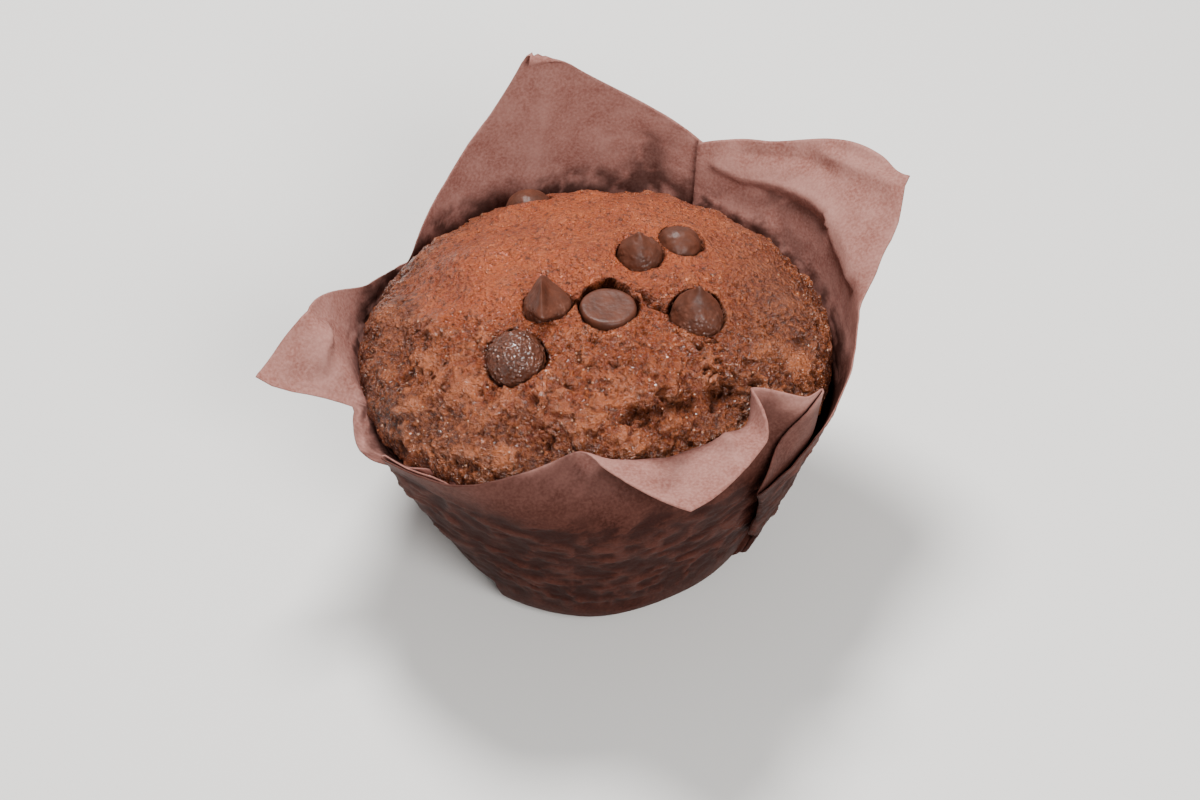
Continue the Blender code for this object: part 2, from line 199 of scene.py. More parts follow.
def partly(tree, mask, share):
    return mathNode(tree, "MULTIPLY", mask, share)


def layered(tree, colour, look, masks, coats):
    # coats from the bottom up: which mask, how much of it, and the colour it lays on
    for mask, share, over in coats:
        colour = mixColour(tree, partly(tree, masks[mask], share), colour, look[over])
    return colour


def finishMaterial(tree, shader, sockets, reliefs):
    # each relief: what makes it, its strength, and its depth in metres
    for label, value in sockets.items():
        feed(tree, shader.inputs[label], value)
    normal = None
    for height, (strength, depth) in reliefs:
        inputs = {"Strength": strength, "Distance": depth, "Height": height}
        if normal:
            inputs["Normal"] = normal
        normal = node(tree, "ShaderNodeBump", inputs)["Normal"]
    feed(tree, shader.inputs["Normal"], normal)


paperLook = {
    "dry": (0.225, 0.088, 0.070),  # corners that stand free
    "dryLight": (0.420, 0.215, 0.180),  # pale fibres
    "soaked": (0.029, 0.0076, 0.0048),  # where the cake's fat has darkened it
    "soakedLight": (0.088, 0.030, 0.022),
    "fold": (0.016, 0.0045, 0.0035),  # painted shade down in the valleys of the creases
    "fibres": (1900.0, 4.0, 0.36, 0.70),
    "clouds": (210.0, 3.0, 0.36, 0.68),
    "grain": (2600.0, 3.0, 0.2, 0.8),
    "fibreShares": (0.55, 0.5),  # how much of the light colour shows, dry and soaked
    "cloudShares": (0.35, 0.3),
    "flatCreaseShading": 0.4,  # the painted crease shading where the sheet is smooth, neither highlight nor shade
    "ridgeHighlightShare": 0.9,  # how much painted highlight the ridges get
    "foldShare": 1.8,  # how much painted shade the valleys get
    "roughness": 0.52,
    "specular": 0.04,
    "grainRelief": (0.35, 0.00008),
    "cloudRelief": (0.3, 0.0003),
}


def paperMaterial():
    material, tree, shader = nodeTree("brownBakingPaper")
    fibres = speckleNode(tree, paperLook["fibres"])
    clouds = speckleNode(tree, paperLook["clouds"])
    soaked = attributeOf(tree, "soaked")
    paintedCreaseShading = attributeOf(tree, "paintedCreaseShading")
    shades = []
    for n, (dark, light) in enumerate((("dry", "dryLight"), ("soaked", "soakedLight"))):
        showing = partly(tree, fibres, paperLook["fibreShares"][n])
        shade = mixColour(tree, showing, paperLook[dark], paperLook[light])
        showing = partly(tree, clouds, paperLook["cloudShares"][n])
        shades.append(mixColour(tree, showing, shade, paperLook[light]))
    colour = mixColour(tree, soaked, *shades)
    # ridges take a painted highlight and valleys a painted shade
    above = mathNode(tree, "SUBTRACT", paintedCreaseShading, paperLook["flatCreaseShading"])
    below = mathNode(tree, "SUBTRACT", paperLook["flatCreaseShading"], paintedCreaseShading)
    ridgeHighlight = mixColour(tree, soaked, paperLook["dryLight"], paperLook["soakedLight"])
    colour = mixColour(tree, partly(tree, above, paperLook["ridgeHighlightShare"]), colour, ridgeHighlight)
    colour = mixColour(tree, partly(tree, below, paperLook["foldShare"]), colour, paperLook["fold"])
    sockets = {"Base Color": colour, "Roughness": paperLook["roughness"],
               "Specular IOR Level": paperLook["specular"]}
    grain = speckleNode(tree, paperLook["grain"])
    reliefs = [(grain, paperLook["grainRelief"]), (clouds, paperLook["cloudRelief"])]
    finishMaterial(tree, shader, sockets, reliefs)
    return material


cakeLook = {
    "crust": (0.250, 0.035, 0.0046),
    "crustWarm": (0.375, 0.062, 0.0085),
    "crumb": (0.180, 0.029, 0.0075),
    # dark brown of the baked rim, also the painted shade down the right side and the clumps' blotches
    "bakedAndShaded": (0.066, 0.0125, 0.0040),
    "dark": (0.020, 0.0050, 0.0022),  # painted shade down in pores, cracks and the gaps round the chips; the small dark spots use it too
    "pale": (0.520, 0.140, 0.040),
    "crumbTopHighlight": (0.560, 0.170, 0.068),  # painted highlight on the tops of raised crumbs
    "broad": (120.0, 4.0, 0.36, 0.66),
    "grain": (1300.0, 5.0, 0.36, 0.66),
    "dust": (2400.0, 2.0, 0.52, 0.74),
    "spots": (950.0, 4.0, 0.54, 0.66),
    "clumps": (420.0, 3.0, 0.48, 0.66),
    "coats": (("broad", 1, "crustWarm"), ("coarse", 1, "crumb"), ("clumps", 0.62, "bakedAndShaded"),
              ("bakedAndShaded", 1, "bakedAndShaded"), ("grain", 0.42, "pale"), ("spots", 0.6, "dark"),
              ("rise", 0.55, "crumbTopHighlight"), ("pit", 1, "dark")),
    "roughness": (0.16, 0.54),
    "moist": 0.27,  # how much glossier the open crumb is
    "specular": 0.62,
    "grainRelief": (1.0, 0.0007),
    "dustRelief": (0.7, 0.00022),
}


def cakeMaterial():
    material, tree, shader = nodeTree("chocolateCrust")
    masks = {}
    for label in ("broad", "grain", "dust", "spots", "clumps"):
        masks[label] = speckleNode(tree, cakeLook[label])
    for label in ("coarse", "bakedAndShaded", "rise", "pit"):
        masks[label] = attributeOf(tree, label)
    masks["clumps"] = partly(tree, masks["clumps"], masks["coarse"])
    colour = layered(tree, cakeLook["crust"], cakeLook, masks, cakeLook["coats"])
    dusty, clean = cakeLook["roughness"]
    levels = {"Value": masks["dust"], "To Min": clean, "To Max": dusty}
    rough = node(tree, "ShaderNodeMapRange", levels)["Result"]
    moist = partly(tree, masks["coarse"], cakeLook["moist"])
    shine = partly(tree, mathNode(tree, "SUBTRACT", 1.0, masks["pit"]), cakeLook["specular"])
    sockets = {"Base Color": colour, "Roughness": mathNode(tree, "SUBTRACT", rough, moist),
               "Specular IOR Level": shine}
    reliefs = [(masks["grain"], cakeLook["grainRelief"]), (masks["dust"], cakeLook["dustRelief"])]
    finishMaterial(tree, shader, sockets, reliefs)
    return material


chipLook = {
    "dark": (0.052, 0.0170, 0.0098),
    "bloom": (0.132, 0.0385, 0.0195),
    "sugar": (0.330, 0.1500, 0.1050),
    "haze": (420.0, 4.0, 0.22, 0.82),
    "specks": (2200.0, 2.0, 0.58, 0.72),
    "patches": (600.0, 2.0, 0.34, 0.58),  # where sugar lies
    "lumps": (1100.0, 4.0, 0.3, 0.7),
    "coats": (("haze", 0.8, "bloom"), ("specks", 0.35, "bloom"), ("glaze", 1, "sugar")),
    "beadScale": 1250.0,  # sugar beads along a metre
    "beadReach": 0.62,
    "roughness": 0.46,
    "specular": 0.26,
    "sugarGloss": 0.26,  # how much smoother sugar is
    "sugarSpecular": 0.30,  # and how much more it mirrors
    "lumpRelief": (0.15, 0.0004),
    "beadRelief": (1.0, 0.0009),
}


def chipMaterial():
    material, tree, shader = nodeTree("darkChocolate")
    masks = {label: speckleNode(tree, chipLook[label]) for label in ("haze", "specks")}
    # melted sugar sits on some of them as small wet beads
    sugar = attributeOf(tree, "sugar")
    where = node(tree, "ShaderNodeTexCoord", {})["Object"]
    beads = node(tree, "ShaderNodeTexVoronoi", {"Scale": chipLook["beadScale"], "Vector": where})
    bead = mathNode(tree, "SUBTRACT", chipLook["beadReach"], beads["Distance"])
    masks["glaze"] = partly(tree, partly(tree, sugar, bead), speckleNode(tree, chipLook["patches"]))
    gloss = partly(tree, sugar, chipLook["sugarGloss"])
    shine = partly(tree, sugar, chipLook["sugarSpecular"])
    sockets = {"Base Color": layered(tree, chipLook["dark"], chipLook, masks, chipLook["coats"]),
               "Roughness": mathNode(tree, "SUBTRACT", chipLook["roughness"], gloss),
               "Specular IOR Level": mathNode(tree, "ADD", shine, chipLook["specular"])}
    lumps = speckleNode(tree, chipLook["lumps"])
    reliefs = [(lumps, chipLook["lumpRelief"]), (masks["glaze"], chipLook["beadRelief"])]
    finishMaterial(tree, shader, sockets, reliefs)
    return material


sugarLook = {
    "light": (0.50, 0.24, 0.14),
    "dark": (0.35, 0.168, 0.098),
    "grain": (1500.0, 3.0, 0.3, 0.7),
    "roughness": 0.10,
    "coat": 1.0,
    "relief": (0.3, 0.0001),
}


def sugarMaterial():
    material, tree, shader = nodeTree("sugarGlaze")
    grain = speckleNode(tree, sugarLook["grain"])
    sockets = {"Base Color": mixColour(tree, grain, sugarLook["dark"], sugarLook["light"]),
               "Roughness": sugarLook["roughness"], "Coat Weight": sugarLook["coat"]}
    finishMaterial(tree, shader, sockets, [(grain, sugarLook["relief"])])
    return material


# the paper case: one square sheet pressed into a cup, four pleats, four free corners

paperCase = {
    "thickness": 0.26 * mm,
    "middle": 0.20 * mm,  # height of the sheet's middle on the flat bottom
    "pleatPitch": 0.9 * mm,
    "flatRadius": 26.5 * mm,
    "footRadius": 5.0 * mm,
    "wallLean": math.radians(17.5),
    "rimHeight": 40 * mm,
    "sheetTurn": math.radians(12),
    "pleatStart": 1.2 * mm,
    "pleatTurn": 4.0 * mm,
    "pleatRise": 13 * mm,
    "springWidth": 18 * mm,
    "leanBlend": 8 * mm,
    "bowLength": 4 * mm,
    "bowChord": 14 * mm,
    "panelColumns": 99,
    "pleatColumns": 12,
    "wallRows": 50,
    "petalRows": 38,
    "flatRows": (8 * mm, 16 * mm, 22 * mm),
    "footRows": 7,
    "firstRows": (2 * mm, 4 * mm, 5.5 * mm, 7.5 * mm),  # past the foot
    "petalStart": 66 * mm,
    "reachGuess": 80 * mm,
    "springStart": 6 * mm,  # past the foot, where a pleat starts to stand off the wall
    "springRise": 30 * mm,
    "dentSharpness": 1.3,
    "dentFade": 4 * mm,
}

# each free corner, anticlockwise from the right: azimuths at rim and tip, corner distance, where
# its cut edges reach the next diagonals, their nearest distance to the centre, and its folds
petals = [
    {"rim": 22, "tip": 18, "corner": 105.5, "edges": (100, 114), "floors": (73.5, 73.5),
     "knees": [(20, 3.0, 17), (8, 4.0, 9), (0, -1.8, 5), (-18, 0.8, 14)],
     "folds": [(87, 8, 40, 1.1, 0.35, -2, 34)]},
    {"rim": 95, "tip": 104, "corner": 104.5, "edges": (95, 87), "floors": (73.5, 68.5),
     "knees": [(18, 2.4, 16), (-18, 2.0, 16)],
     "folds": [(100.8, -25, -155, 0.5, 0.0, 30, 10)]},
    {"rim": 193, "tip": 202, "corner": 94.0, "edges": (94, 26), "floors": (68.5, 74.5),
     "knees": [(-10, 5.0, 10), (0, -0.8, 5)],
     "folds": [(75.5, 42, 60, 1.2, 0.0, 6, 18), (89.0, 40, -50, 2.4, 0.0, 30, 10)]},
    {"rim": 279, "tip": 290, "corner": 100, "edges": (120, 165), "floors": (73.5, 73.5),
     "knees": [(-18, 1.6, 16), (18, 0.8, 16)],
     "folds": [(68, 6, -46, 14, 0.0, 18, 12), (82, 8, 122, 2.6, 0.0, 16.5, 6)]},
]
# ridges and valleys pressed into the sheet: which quarter, the line (across, out), its height, and
# how far it reaches on its left and on its right
dents = [
    {"petal": 0, "height": 1.5, "widths": (1.5, 12),
     "line": [(33, 73.4), (25.3, 75.8), (17.8, 80.7), (10, 84.7), (3.9, 87), (-3.2, 84.6),
              (-9.7, 84.2), (-15.3, 84)]},
    {"petal": 0, "height": -0.8, "widths": (6, 1.3),
     "line": [(24, 75.5), (16.5, 79.3), (7.5, 83.6), (0, 84.2)]},
    {"petal": 0, "height": 0.8, "widths": (4, 5), "line": [(30, 67), (20, 70), (12, 74)]},
    {"petal": 0, "height": -0.7, "widths": (3, 4), "line": [(30, 78), (18, 88), (8, 93)]},
    {"petal": 0, "height": 1.1, "widths": (4, 2), "line": [(19, 91), (12, 94), (5, 98.5), (-3, 102)]},
    {"petal": 1, "height": 1.2, "widths": (8, 7), "line": [(-1, 98), (3, 88), (11, 69)]},
    {"petal": 1, "height": -1.5, "widths": (6, 6), "line": [(-16, 83), (-14, 75), (-12, 67)]},
    {"petal": 1, "height": 0.6, "widths": (4, 5), "line": [(22, 78), (16, 72), (14, 66)]},
    {"petal": 2, "height": 1.3, "widths": (8, 1.3), "line": [(-12.3, 81.3), (-7.1, 82), (0, 81.2)]},
    {"petal": 2, "height": 0.7, "widths": (4, 4), "line": [(-5, 90), (-3, 84)]},
    {"petal": 3, "height": 0.9, "widths": (3, 4), "line": [(12, 90), (18, 76)]},
    {"petal": 3, "height": -0.6, "widths": (4, 5), "line": [(-4, 96), (6, 84)]},
    {"petal": 3, "height": 0.7, "widths": (2.5, 1.2), "line": [(-12, 36), (-6, 37.5), (2, 36.5), (8, 34)]},
]
# how far out the fat has soaked: place round the sheet in quarters, distance from its middle
stains = [(0, 69), (0.5, 60), (1, 64), (1.5, 63), (1.9, 62), (2.1, 62),
          (2.35, 57), (2.5, 72), (2.64, 82), (2.8, 84.5), (3.15, 84.5), (3.5, 79)]
# how far each pleat reaches ahead and behind its fold, and how far it springs off the wall
pleats = [
    {"ahead": 0.3, "behind": 1.0, "spring": 0.0},
    {"ahead": 1.0, "behind": 1.0, "spring": 0.0},
    {"ahead": 0.8, "behind": 1.1, "spring": 2.0},
    {"ahead": -0.3, "behind": 1.85, "spring": 1.0},
]
# how the free corners lean out above the rim: azimuth, lean, spread
rimLeans = [(20, 10, 16), (58, 28, 14), (104, 8, 18), (150, 10, 16), (193, 34, 16),
            (222, 24, 12), (255, 2, 14), (285, 10, 16), (325, 6, 12), (0, 8, 12)]

flatRadius = paperCase["flatRadius"]
footRadius = paperCase["footRadius"]
wallLean = paperCase["wallLean"]
footLength = footRadius * (math.pi / 2 - wallLean)
footEnd = flatRadius + footLength
footTopRadius = flatRadius + footRadius * math.cos(wallLean)
footTopHeight = footRadius * (1 - math.sin(wallLean))
rimDistance = footEnd + (paperCase["rimHeight"] - footTopHeight) / math.cos(wallLean)


def cupProfile(dist, lean):
    # radius and height of the cup at a distance along the sheet, above the rim at its own lean
    bend = np.clip((dist - flatRadius) / footRadius, 0, math.pi / 2 - wallLean)
    wall = np.clip(dist - footEnd, 0, rimDistance - footEnd)
    past = np.maximum(dist - rimDistance, 0)
    blend = paperCase["leanBlend"]
    share = np.where(past < blend, past / blend / 2, 1 - blend / 2 / np.maximum(past, blend))
    angle = wallLean + (lean - wallLean) * share
    radius = np.minimum(dist, flatRadius) + footRadius * np.sin(bend)
    radius = radius + wall * math.sin(wallLean) + past * np.sin(angle)
    height = footRadius * (1 - np.cos(bend)) + wall * math.cos(wallLean) + past * np.cos(angle)
    return radius, height


def rimLean(azimuth):
    total = 0
    weight = 0
    for where, lean, spread in rimLeans:
        away = (np.degrees(azimuth) - where + 180) % 360 - 180
        w = np.exp(-0.5 * (away / spread) ** 2) + 1e-9
        total = total + w * lean
        weight = weight + w
    return np.radians(total / weight)


def diagonalAzimuth(k, dist):
    petal = petals[k]
    flat = paperCase["sheetTurn"] + k * math.pi / 2
    rim = math.radians(petal["rim"])
    tip = math.radians(petal["tip"])
    up = ease((dist - flatRadius) / (rimDistance - flatRadius))
    past = np.maximum(dist - rimDistance, 0) / (petal["corner"] * mm - rimDistance)
    return flat + (rim - flat) * up + (tip - rim) * past


def petalReach(k, angle):
    petal = petals[k]
    before, after = petal["edges"]
    side = np.where(angle > 0, after, before) * mm
    reach = 1 / (np.sin(np.abs(angle)) / side + np.cos(angle) / (petal["corner"] * mm))
    for where, extra, spread in petal["knees"]:
        reach = reach + extra * mm * ease(1 - np.abs(np.degrees(angle) - where) / spread)
    return np.maximum(reach, np.where(angle > 0, petal["floors"][1], petal["floors"][0]) * mm)


def unfolded(k, x, y, lift):
    dist = np.hypot(x, y)
    angle = np.arctan2(x, y)
    straight, _ = cupProfile(dist, wallLean)
    azimuth = diagonalAzimuth(k, dist) + angle * dist / np.maximum(straight, 1e-6)
    radius, height = cupProfile(dist, rimLean(azimuth))
    up = ease((dist - flatRadius) / footLength)
    radius = radius + lift * math.cos(wallLean) * up
    height = height - lift * math.sin(wallLean) * up
    return np.stack([radius * np.cos(azimuth), radius * np.sin(azimuth), height], -1)


def folded(k, x, y, lift, level=None):
    folds = petals[k]["folds"]
    level = len(folds) if level is None else level
    if level == 0:
        return unfolded(k, x, y, lift)
    where, slant, turn, radius, bow, fadeStart, fadeLength = folds[level - 1]
    where, radius, fadeStart, fadeLength = (v * mm for v in (where, radius, fadeStart, fadeLength))
    c = math.cos(math.radians(slant))
    s = math.sin(math.radians(slant))
    bowLength = paperCase["bowLength"]

    def line(along):
        return -bow * (np.sqrt(along ** 2 + bowLength ** 2) - bowLength)

    def at(along, across, lifted):
        q = across + line(along)
        return folded(k, along * c + q * s, where - along * s + q * c, lifted, level - 1)

    along = x * c - (y - where) * s
    across = (y - where) * c + x * s - line(along)
    points = folded(k, x, y, lift, level - 1)
    past = across > 0
    if not past.any():
        return points
    along = along[past]
    across = across[past]
    lifted = lift[past]
    zero = np.zeros_like(across)
    step = 0.5 * mm
    foot = at(along, zero, lifted)
    chord = np.full_like(along, paperCase["bowChord"]) if bow else step
    middle = zero if bow else along
    axis = unit(at(middle + chord, zero, zero) - at(middle - chord, zero, zero))
    outward = unit(np.cross(axis, foot - at(along, zero - step, lifted)))
    ahead = np.cross(outward, axis)
    rest = points[past] - foot
    onAxis, onAhead, onOut = (np.sum(rest * v, -1) for v in (axis, ahead, outward))
    full = math.radians(abs(turn)) * (1 - ease((along - fadeStart) / fadeLength)) + 1e-6
    way = math.copysign(1, turn)
    used = np.minimum(across, radius * full)
    th = used / radius
    newAhead = radius * np.sin(th) + np.cos(th) * (onAhead - used) - way * np.sin(th) * onOut
    newOut = way * radius * (1 - np.cos(th)) + way * np.sin(th) * (onAhead - used) + np.cos(th) * onOut
    points = points.copy()
    points[past] = foot + axis * onAxis[:, None] + ahead * newAhead[:, None] + outward * newOut[:, None]
    return points


def spanAfter(k, dist):
    turn = 2 * math.pi if k == 3 else 0
    return diagonalAzimuth((k + 1) % 4, dist) + turn - diagonalAzimuth(k, dist)


def pleatWidth(k, dist):
    radius, _ = cupProfile(dist, wallLean)
    full = (math.pi / 2 * dist - spanAfter(k, dist) * radius) / 4
    grown = ease((dist - footEnd - paperCase["pleatTurn"]) / paperCase["pleatRise"])
    below = ease((footEnd + paperCase["pleatTurn"] - dist) / (footLength + paperCase["pleatTurn"]))
    return radius, full * grown - paperCase["pleatStart"] * below, grown


def pleatSide(k, dist, side):
    _, half, grown = pleatWidth(k, dist)
    share = pleats[k]["ahead" if side > 0 else "behind"]
    return side * half * (1 + (share - 1) * grown)


def creaseAngle(k, dist, side, fromNext):
    radius, _, _ = pleatWidth(k, dist)
    middle = spanAfter(k, dist) / 2
    arc = pleatSide(k, dist, side) / radius
    return ((arc - middle) if fromNext else (middle + arc)) * radius / dist


def layerPitch(dist):
    return paperCase["pleatPitch"] * ease((dist - flatRadius - 1 * mm) / footLength)


def springOff(k, dist, away):
    up = ease((dist - footEnd - paperCase["springStart"]) / paperCase["springRise"])
    return pleats[k]["spring"] * mm * up * (1 - np.clip(away / paperCase["springWidth"], 0, 1)) ** 2


def panelAngle(k, g, dist):
    if g < 0:
        return -g * creaseAngle((k - 1) % 4, dist, -1, True)
    return g * creaseAngle(k, dist, 1, False)


def dentHeight(k, x, y):
    # how far the ridges and valleys lift the sheet
    fade = paperCase["dentFade"]
    total = np.zeros_like(x)
    for dent in dents:
        if dent["petal"] != k:
            continue
        line = np.array(dent["line"]) * mm
        nearest = np.full_like(x, 1.0)
        height = np.zeros_like(x)
        passed = 0
        length = np.sum(np.hypot(*np.diff(line, axis=0).T))
        for start, end in zip(line[:-1], line[1:]):
            run = end - start
            span = np.hypot(*run)
            along = np.clip(((x - start[0]) * run[0] + (y - start[1]) * run[1]) / span, 0, span)
            dx = x - start[0] - run[0] * along / span
            dy = y - start[1] - run[1] * along / span
            away = np.hypot(dx, dy)
            width = np.where(dx * run[1] - dy * run[0] < 0, *dent["widths"]) * mm
            here = np.clip(1 - away / width, 0, 1) ** paperCase["dentSharpness"]
            here = here * ease((passed + along) / fade) * ease((length - passed - along) / fade)
            height = np.where(away < nearest, here, height)
            nearest = np.minimum(nearest, away)
            passed = passed + span
        total = total + dent["height"] * mm * height
    return total


def panelColumn(k, g, dist):
    angle = panelAngle(k, g, dist)
    start = creaseAngle((k - 1) % 4, dist, -1, True)
    end = creaseAngle(k, dist, 1, False)
    share = (angle - start) / (end - start)
    lift = 2 * layerPitch(dist) * (1 - ease((share - 0.3) / 0.4))
    lift = lift + springOff((k - 1) % 4, dist, (angle - start) * dist)
    x, y = dist * np.sin(angle), dist * np.cos(angle)
    return folded(k, x, y, lift), k * math.pi / 2 + angle, dentHeight(k, x, y)


def pleatColumn(k, n, dist):
    radius, _, _ = pleatWidth(k, dist)
    near = pleatSide(k, dist, 1)
    far = pleatSide(k, dist, -1)
    count = paperCase["pleatColumns"]
    last = count + 1
    f = (n - 1) / (count - 1)
    pitch = paperCase["pleatPitch"]
    pressed = layerPitch(dist) / pitch
    bulge = pitch / 2 * ease((near - far) / pitch)
    if n == 0:
        shaped, rise = near + bulge, 0.5
    elif n == last:
        shaped, rise = far - bulge, 1.5
    else:
        shaped, rise = near + (far - near) * f, 0.85 + 0.3 * f
    level = near + (far - near) * (n + 1) / (last + 2)
    along = level + (shaped - level) * pressed
    lift = layerPitch(dist) * rise + springOff(k, dist, np.maximum(along - far, 0))
    middle = spanAfter(k, dist) / 2
    here = (middle + along / radius) * radius / dist
    there = (along / radius - middle) * radius / dist
    blend = ease(f)
    first = folded(k, dist * np.sin(here), dist * np.cos(here), lift)
    second = folded((k + 1) % 4, dist * np.sin(there), dist * np.cos(there), lift)
    return first * (1 - blend) + second * blend, k * math.pi / 2 + here, dist * 0


def rowDistances(reach):
    foot = np.linspace(flatRadius, footEnd, paperCase["footRows"])
    first = np.array(paperCase["firstRows"]) + footEnd
    wall = np.linspace(first[-1], paperCase["petalStart"], paperCase["wallRows"])[1:]
    petal = np.linspace(paperCase["petalStart"], reach, paperCase["petalRows"] + 1)[1:]
    return np.concatenate([paperCase["flatRows"], foot, first, wall, petal])


def panelReach(k, g):
    reach = np.array(paperCase["reachGuess"])
    for _ in range(20):  # the angle itself depends on the reach
        reach = petalReach(k, panelAngle(k, g, reach))
    return float(reach)


def sheetGrid():
    # column by column: points, sheet angle, sheet distance, which way the layer faces, dents
    columns = []
    count = paperCase["pleatColumns"]
    for k in range(4):
        for g in np.linspace(-1, 1, paperCase["panelColumns"]):
            dist = rowDistances(panelReach(k, g))
            column, angle, dent = panelColumn(k, g, dist)
            columns.append((column, angle, dist, 1.0, dent))
        inner = panelReach(k, 1)
        outer = panelReach((k + 1) % 4, -1)
        for n in range(count + 2):
            share = min(max((n - 1) / (count - 1), 0), 1)
            dist = rowDistances(inner + (outer - inner) * share)
            column, angle, dent = pleatColumn(k, n, dist)
            columns.append((column, angle, dist, 0.0 if n in (0, count + 1) else -1.0, dent))
    return [np.array(v) for v in zip(*columns)]


def gridNormals(points):
    around = np.roll(points, -1, 0) - np.roll(points, 1, 0)
    up = np.gradient(points, axis=1)
    return unit(np.cross(around, up))


def ridged(points, size, seed, sharp=2.0):
    # thin raised lines, 1 on the line and 0 away from it
    return np.clip(1 - np.abs(layeredNoise(points, size, seed, 3, 0.45)) * sharp, 0, 1)


# creases of the sheet: each pattern is its size, its seed and then its own values
paperRelief = {
    "drift": (11 * mm, 37, 3),
    "driftHeight": 2.4 * mm,
    "bandRadius": 36 * mm,  # makes an angle a length round the wall
    "level": (4.4 * mm, 31),
    "fineLevel": (2.0 * mm, 33),
    "cross": (7 * mm, 35, 2.6),
    "dapple": (2.4 * mm, 39, 2),
    "shares": (0.8, 0.3, 0.8, 0.45),
    "sunk": 0.6,
    "crinkle": 0.36 * mm,  # height of the wall's creases
    "pleatCrinkle": 0.4,  # how much of it is left in the pleats' inner layers
    "sharp": (10 * mm, 53, 2.6),  # lines in the free corners
    "sharpHeight": 0.16 * mm,
    "fine": (1.6 * mm, 59, 2),
    "fineHeight": 0.05 * mm,
    "slow": (17 * mm, 61, 2),
    "buckle": 0.8 * mm,  # height of the slow waves in the free corners
    "wallBuckle": 0.45,  # how much of it is left in the wall
    "wallStart": (2 * mm, 5 * mm),  # past the foot, and over what length
    "wallStop": (70 * mm, 8 * mm),
    "freeStart": (70 * mm, 12 * mm),
}
# how the soaked part ends: its edge's noise, a faint lightening before it and the rest after it
soakEdge = {"noise": (6 * mm, 71, 3), "wander": 2 * mm, "before": 14 * mm, "faint": 0.16,
            "over": (12 * mm, 5 * mm)}


def stretch(dist, start, length):
    return ease((dist - start) / length)


def buildPaper(material):
    points, angles, dists, facing, dented = sheetGrid()
    relief = paperRelief
    normals = gridNormals(points)
    flatPlace = np.stack([dists * np.cos(angles), dists * np.sin(angles), dists * 0], -1)
    # pressed creases, which run mostly level round the wall and wander up and down
    drift = layeredNoise(flatPlace, *relief["drift"]) * relief["driftHeight"]
    band = np.stack([angles * relief["bandRadius"], dists + drift, dists * 0], -1)
    patterns = (ridged(band, *relief["level"]) ** 2, ridged(band, *relief["fineLevel"]) ** 2,
                ridged(flatPlace, *relief["cross"]) ** 3, layeredNoise(flatPlace, *relief["dapple"]))
    creases = sum(share * pattern for share, pattern in zip(relief["shares"], patterns)) - relief["sunk"]
    wallShare = stretch(dists - footEnd, *relief["wallStart"]) * (1 - stretch(dists, *relief["wallStop"]))
    free = stretch(dists, *relief["freeStart"])
    room = np.where(facing == 1, 1.0, relief["pleatCrinkle"])[:, None]
    sharp = ridged(flatPlace, *relief["sharp"]) ** 3
    fine = relief["fineHeight"] * layeredNoise(flatPlace, *relief["fine"])
    fine = free * room * (relief["sharpHeight"] * sharp + fine)
    fine = relief["crinkle"] * creases * wallShare * room + fine
    slow = layeredNoise(points, *relief["slow"]) * relief["buckle"]
    slow = slow * (wallShare * relief["wallBuckle"] + free)
    offset = fine + slow * facing[:, None] - dented
    moved = points + normals * offset[..., None]
    stain = np.interp(np.degrees(angles) / 90, *zip(*stains), period=4) * mm
    past = dists - stain - layeredNoise(flatPlace, *soakEdge["noise"]) * soakEdge["wander"]
    soaked = 1 - soakEdge["faint"] * ease((past + soakEdge["before"]) / soakEdge["over"][0])
    soaked = soaked - (1 - soakEdge["faint"]) * ease(past / soakEdge["over"][1])
    # painted crease shading: lines and ridges painted lighter as highlight, valleys painted darker as shade
    paintedCreaseShading = paperLook["flatCreaseShading"] + (creases * 0.75 - 0.05) * wallShare + sharp * free * 0.35
    paintedCreaseShading = np.clip(paintedCreaseShading, 0, 1) + 0.5 * ease(dented / mm - 0.55) - 0.25 * ease(-dented / mm)
    return shellFromGrid(moved, soaked, np.clip(paintedCreaseShading, 0, 1), material)


def shellFromGrid(grid, soaked, paintedCreaseShading, material):
    # a closed thin shell: one skin each side of the grid, joined round the cut edge
    columns, rows, _ = grid.shape
    normals = gridNormals(grid)
    half = paperCase["thickness"] / 2
    lift = np.array([0, 0, paperCase["middle"]])
    flat = grid.reshape(-1, 3) + lift
    away = normals.reshape(-1, 3) * half
    count = columns * rows
    centre = np.array([[0, 0, paperCase["middle"] - half], [0, 0, paperCase["middle"] + half]])
    verts = np.concatenate([flat + away, flat - away, centre])
    faces = []
    for i in range(columns):
        j = (i + 1) % columns
        for n in range(rows - 1):
            a, b, c, d = i * rows + n, j * rows + n, j * rows + n + 1, i * rows + n + 1
            faces.append((a, b, c, d))
            faces.append((count + d, count + c, count + b, count + a))
        faces.append((2 * count, j * rows, i * rows))
        faces.append((2 * count + 1, count + i * rows, count + j * rows))
        a, b = i * rows + rows - 1, j * rows + rows - 1
        faces.append((a, b, count + b, count + a))
    soakedBoth = np.concatenate([soaked.ravel(), soaked.ravel() * 0.96, [1, 1]])
    paintedCreaseShadingBoth = np.concatenate([paintedCreaseShading.ravel(), paintedCreaseShading.ravel(), [0, 0]])
    return meshPiece("muffinCase", verts, faces, material, "paper_case",
                     {"soaked": soakedBoth, "paintedCreaseShading": paintedCreaseShadingBoth})


# the cake: a domed crust with crags, pores and cracks

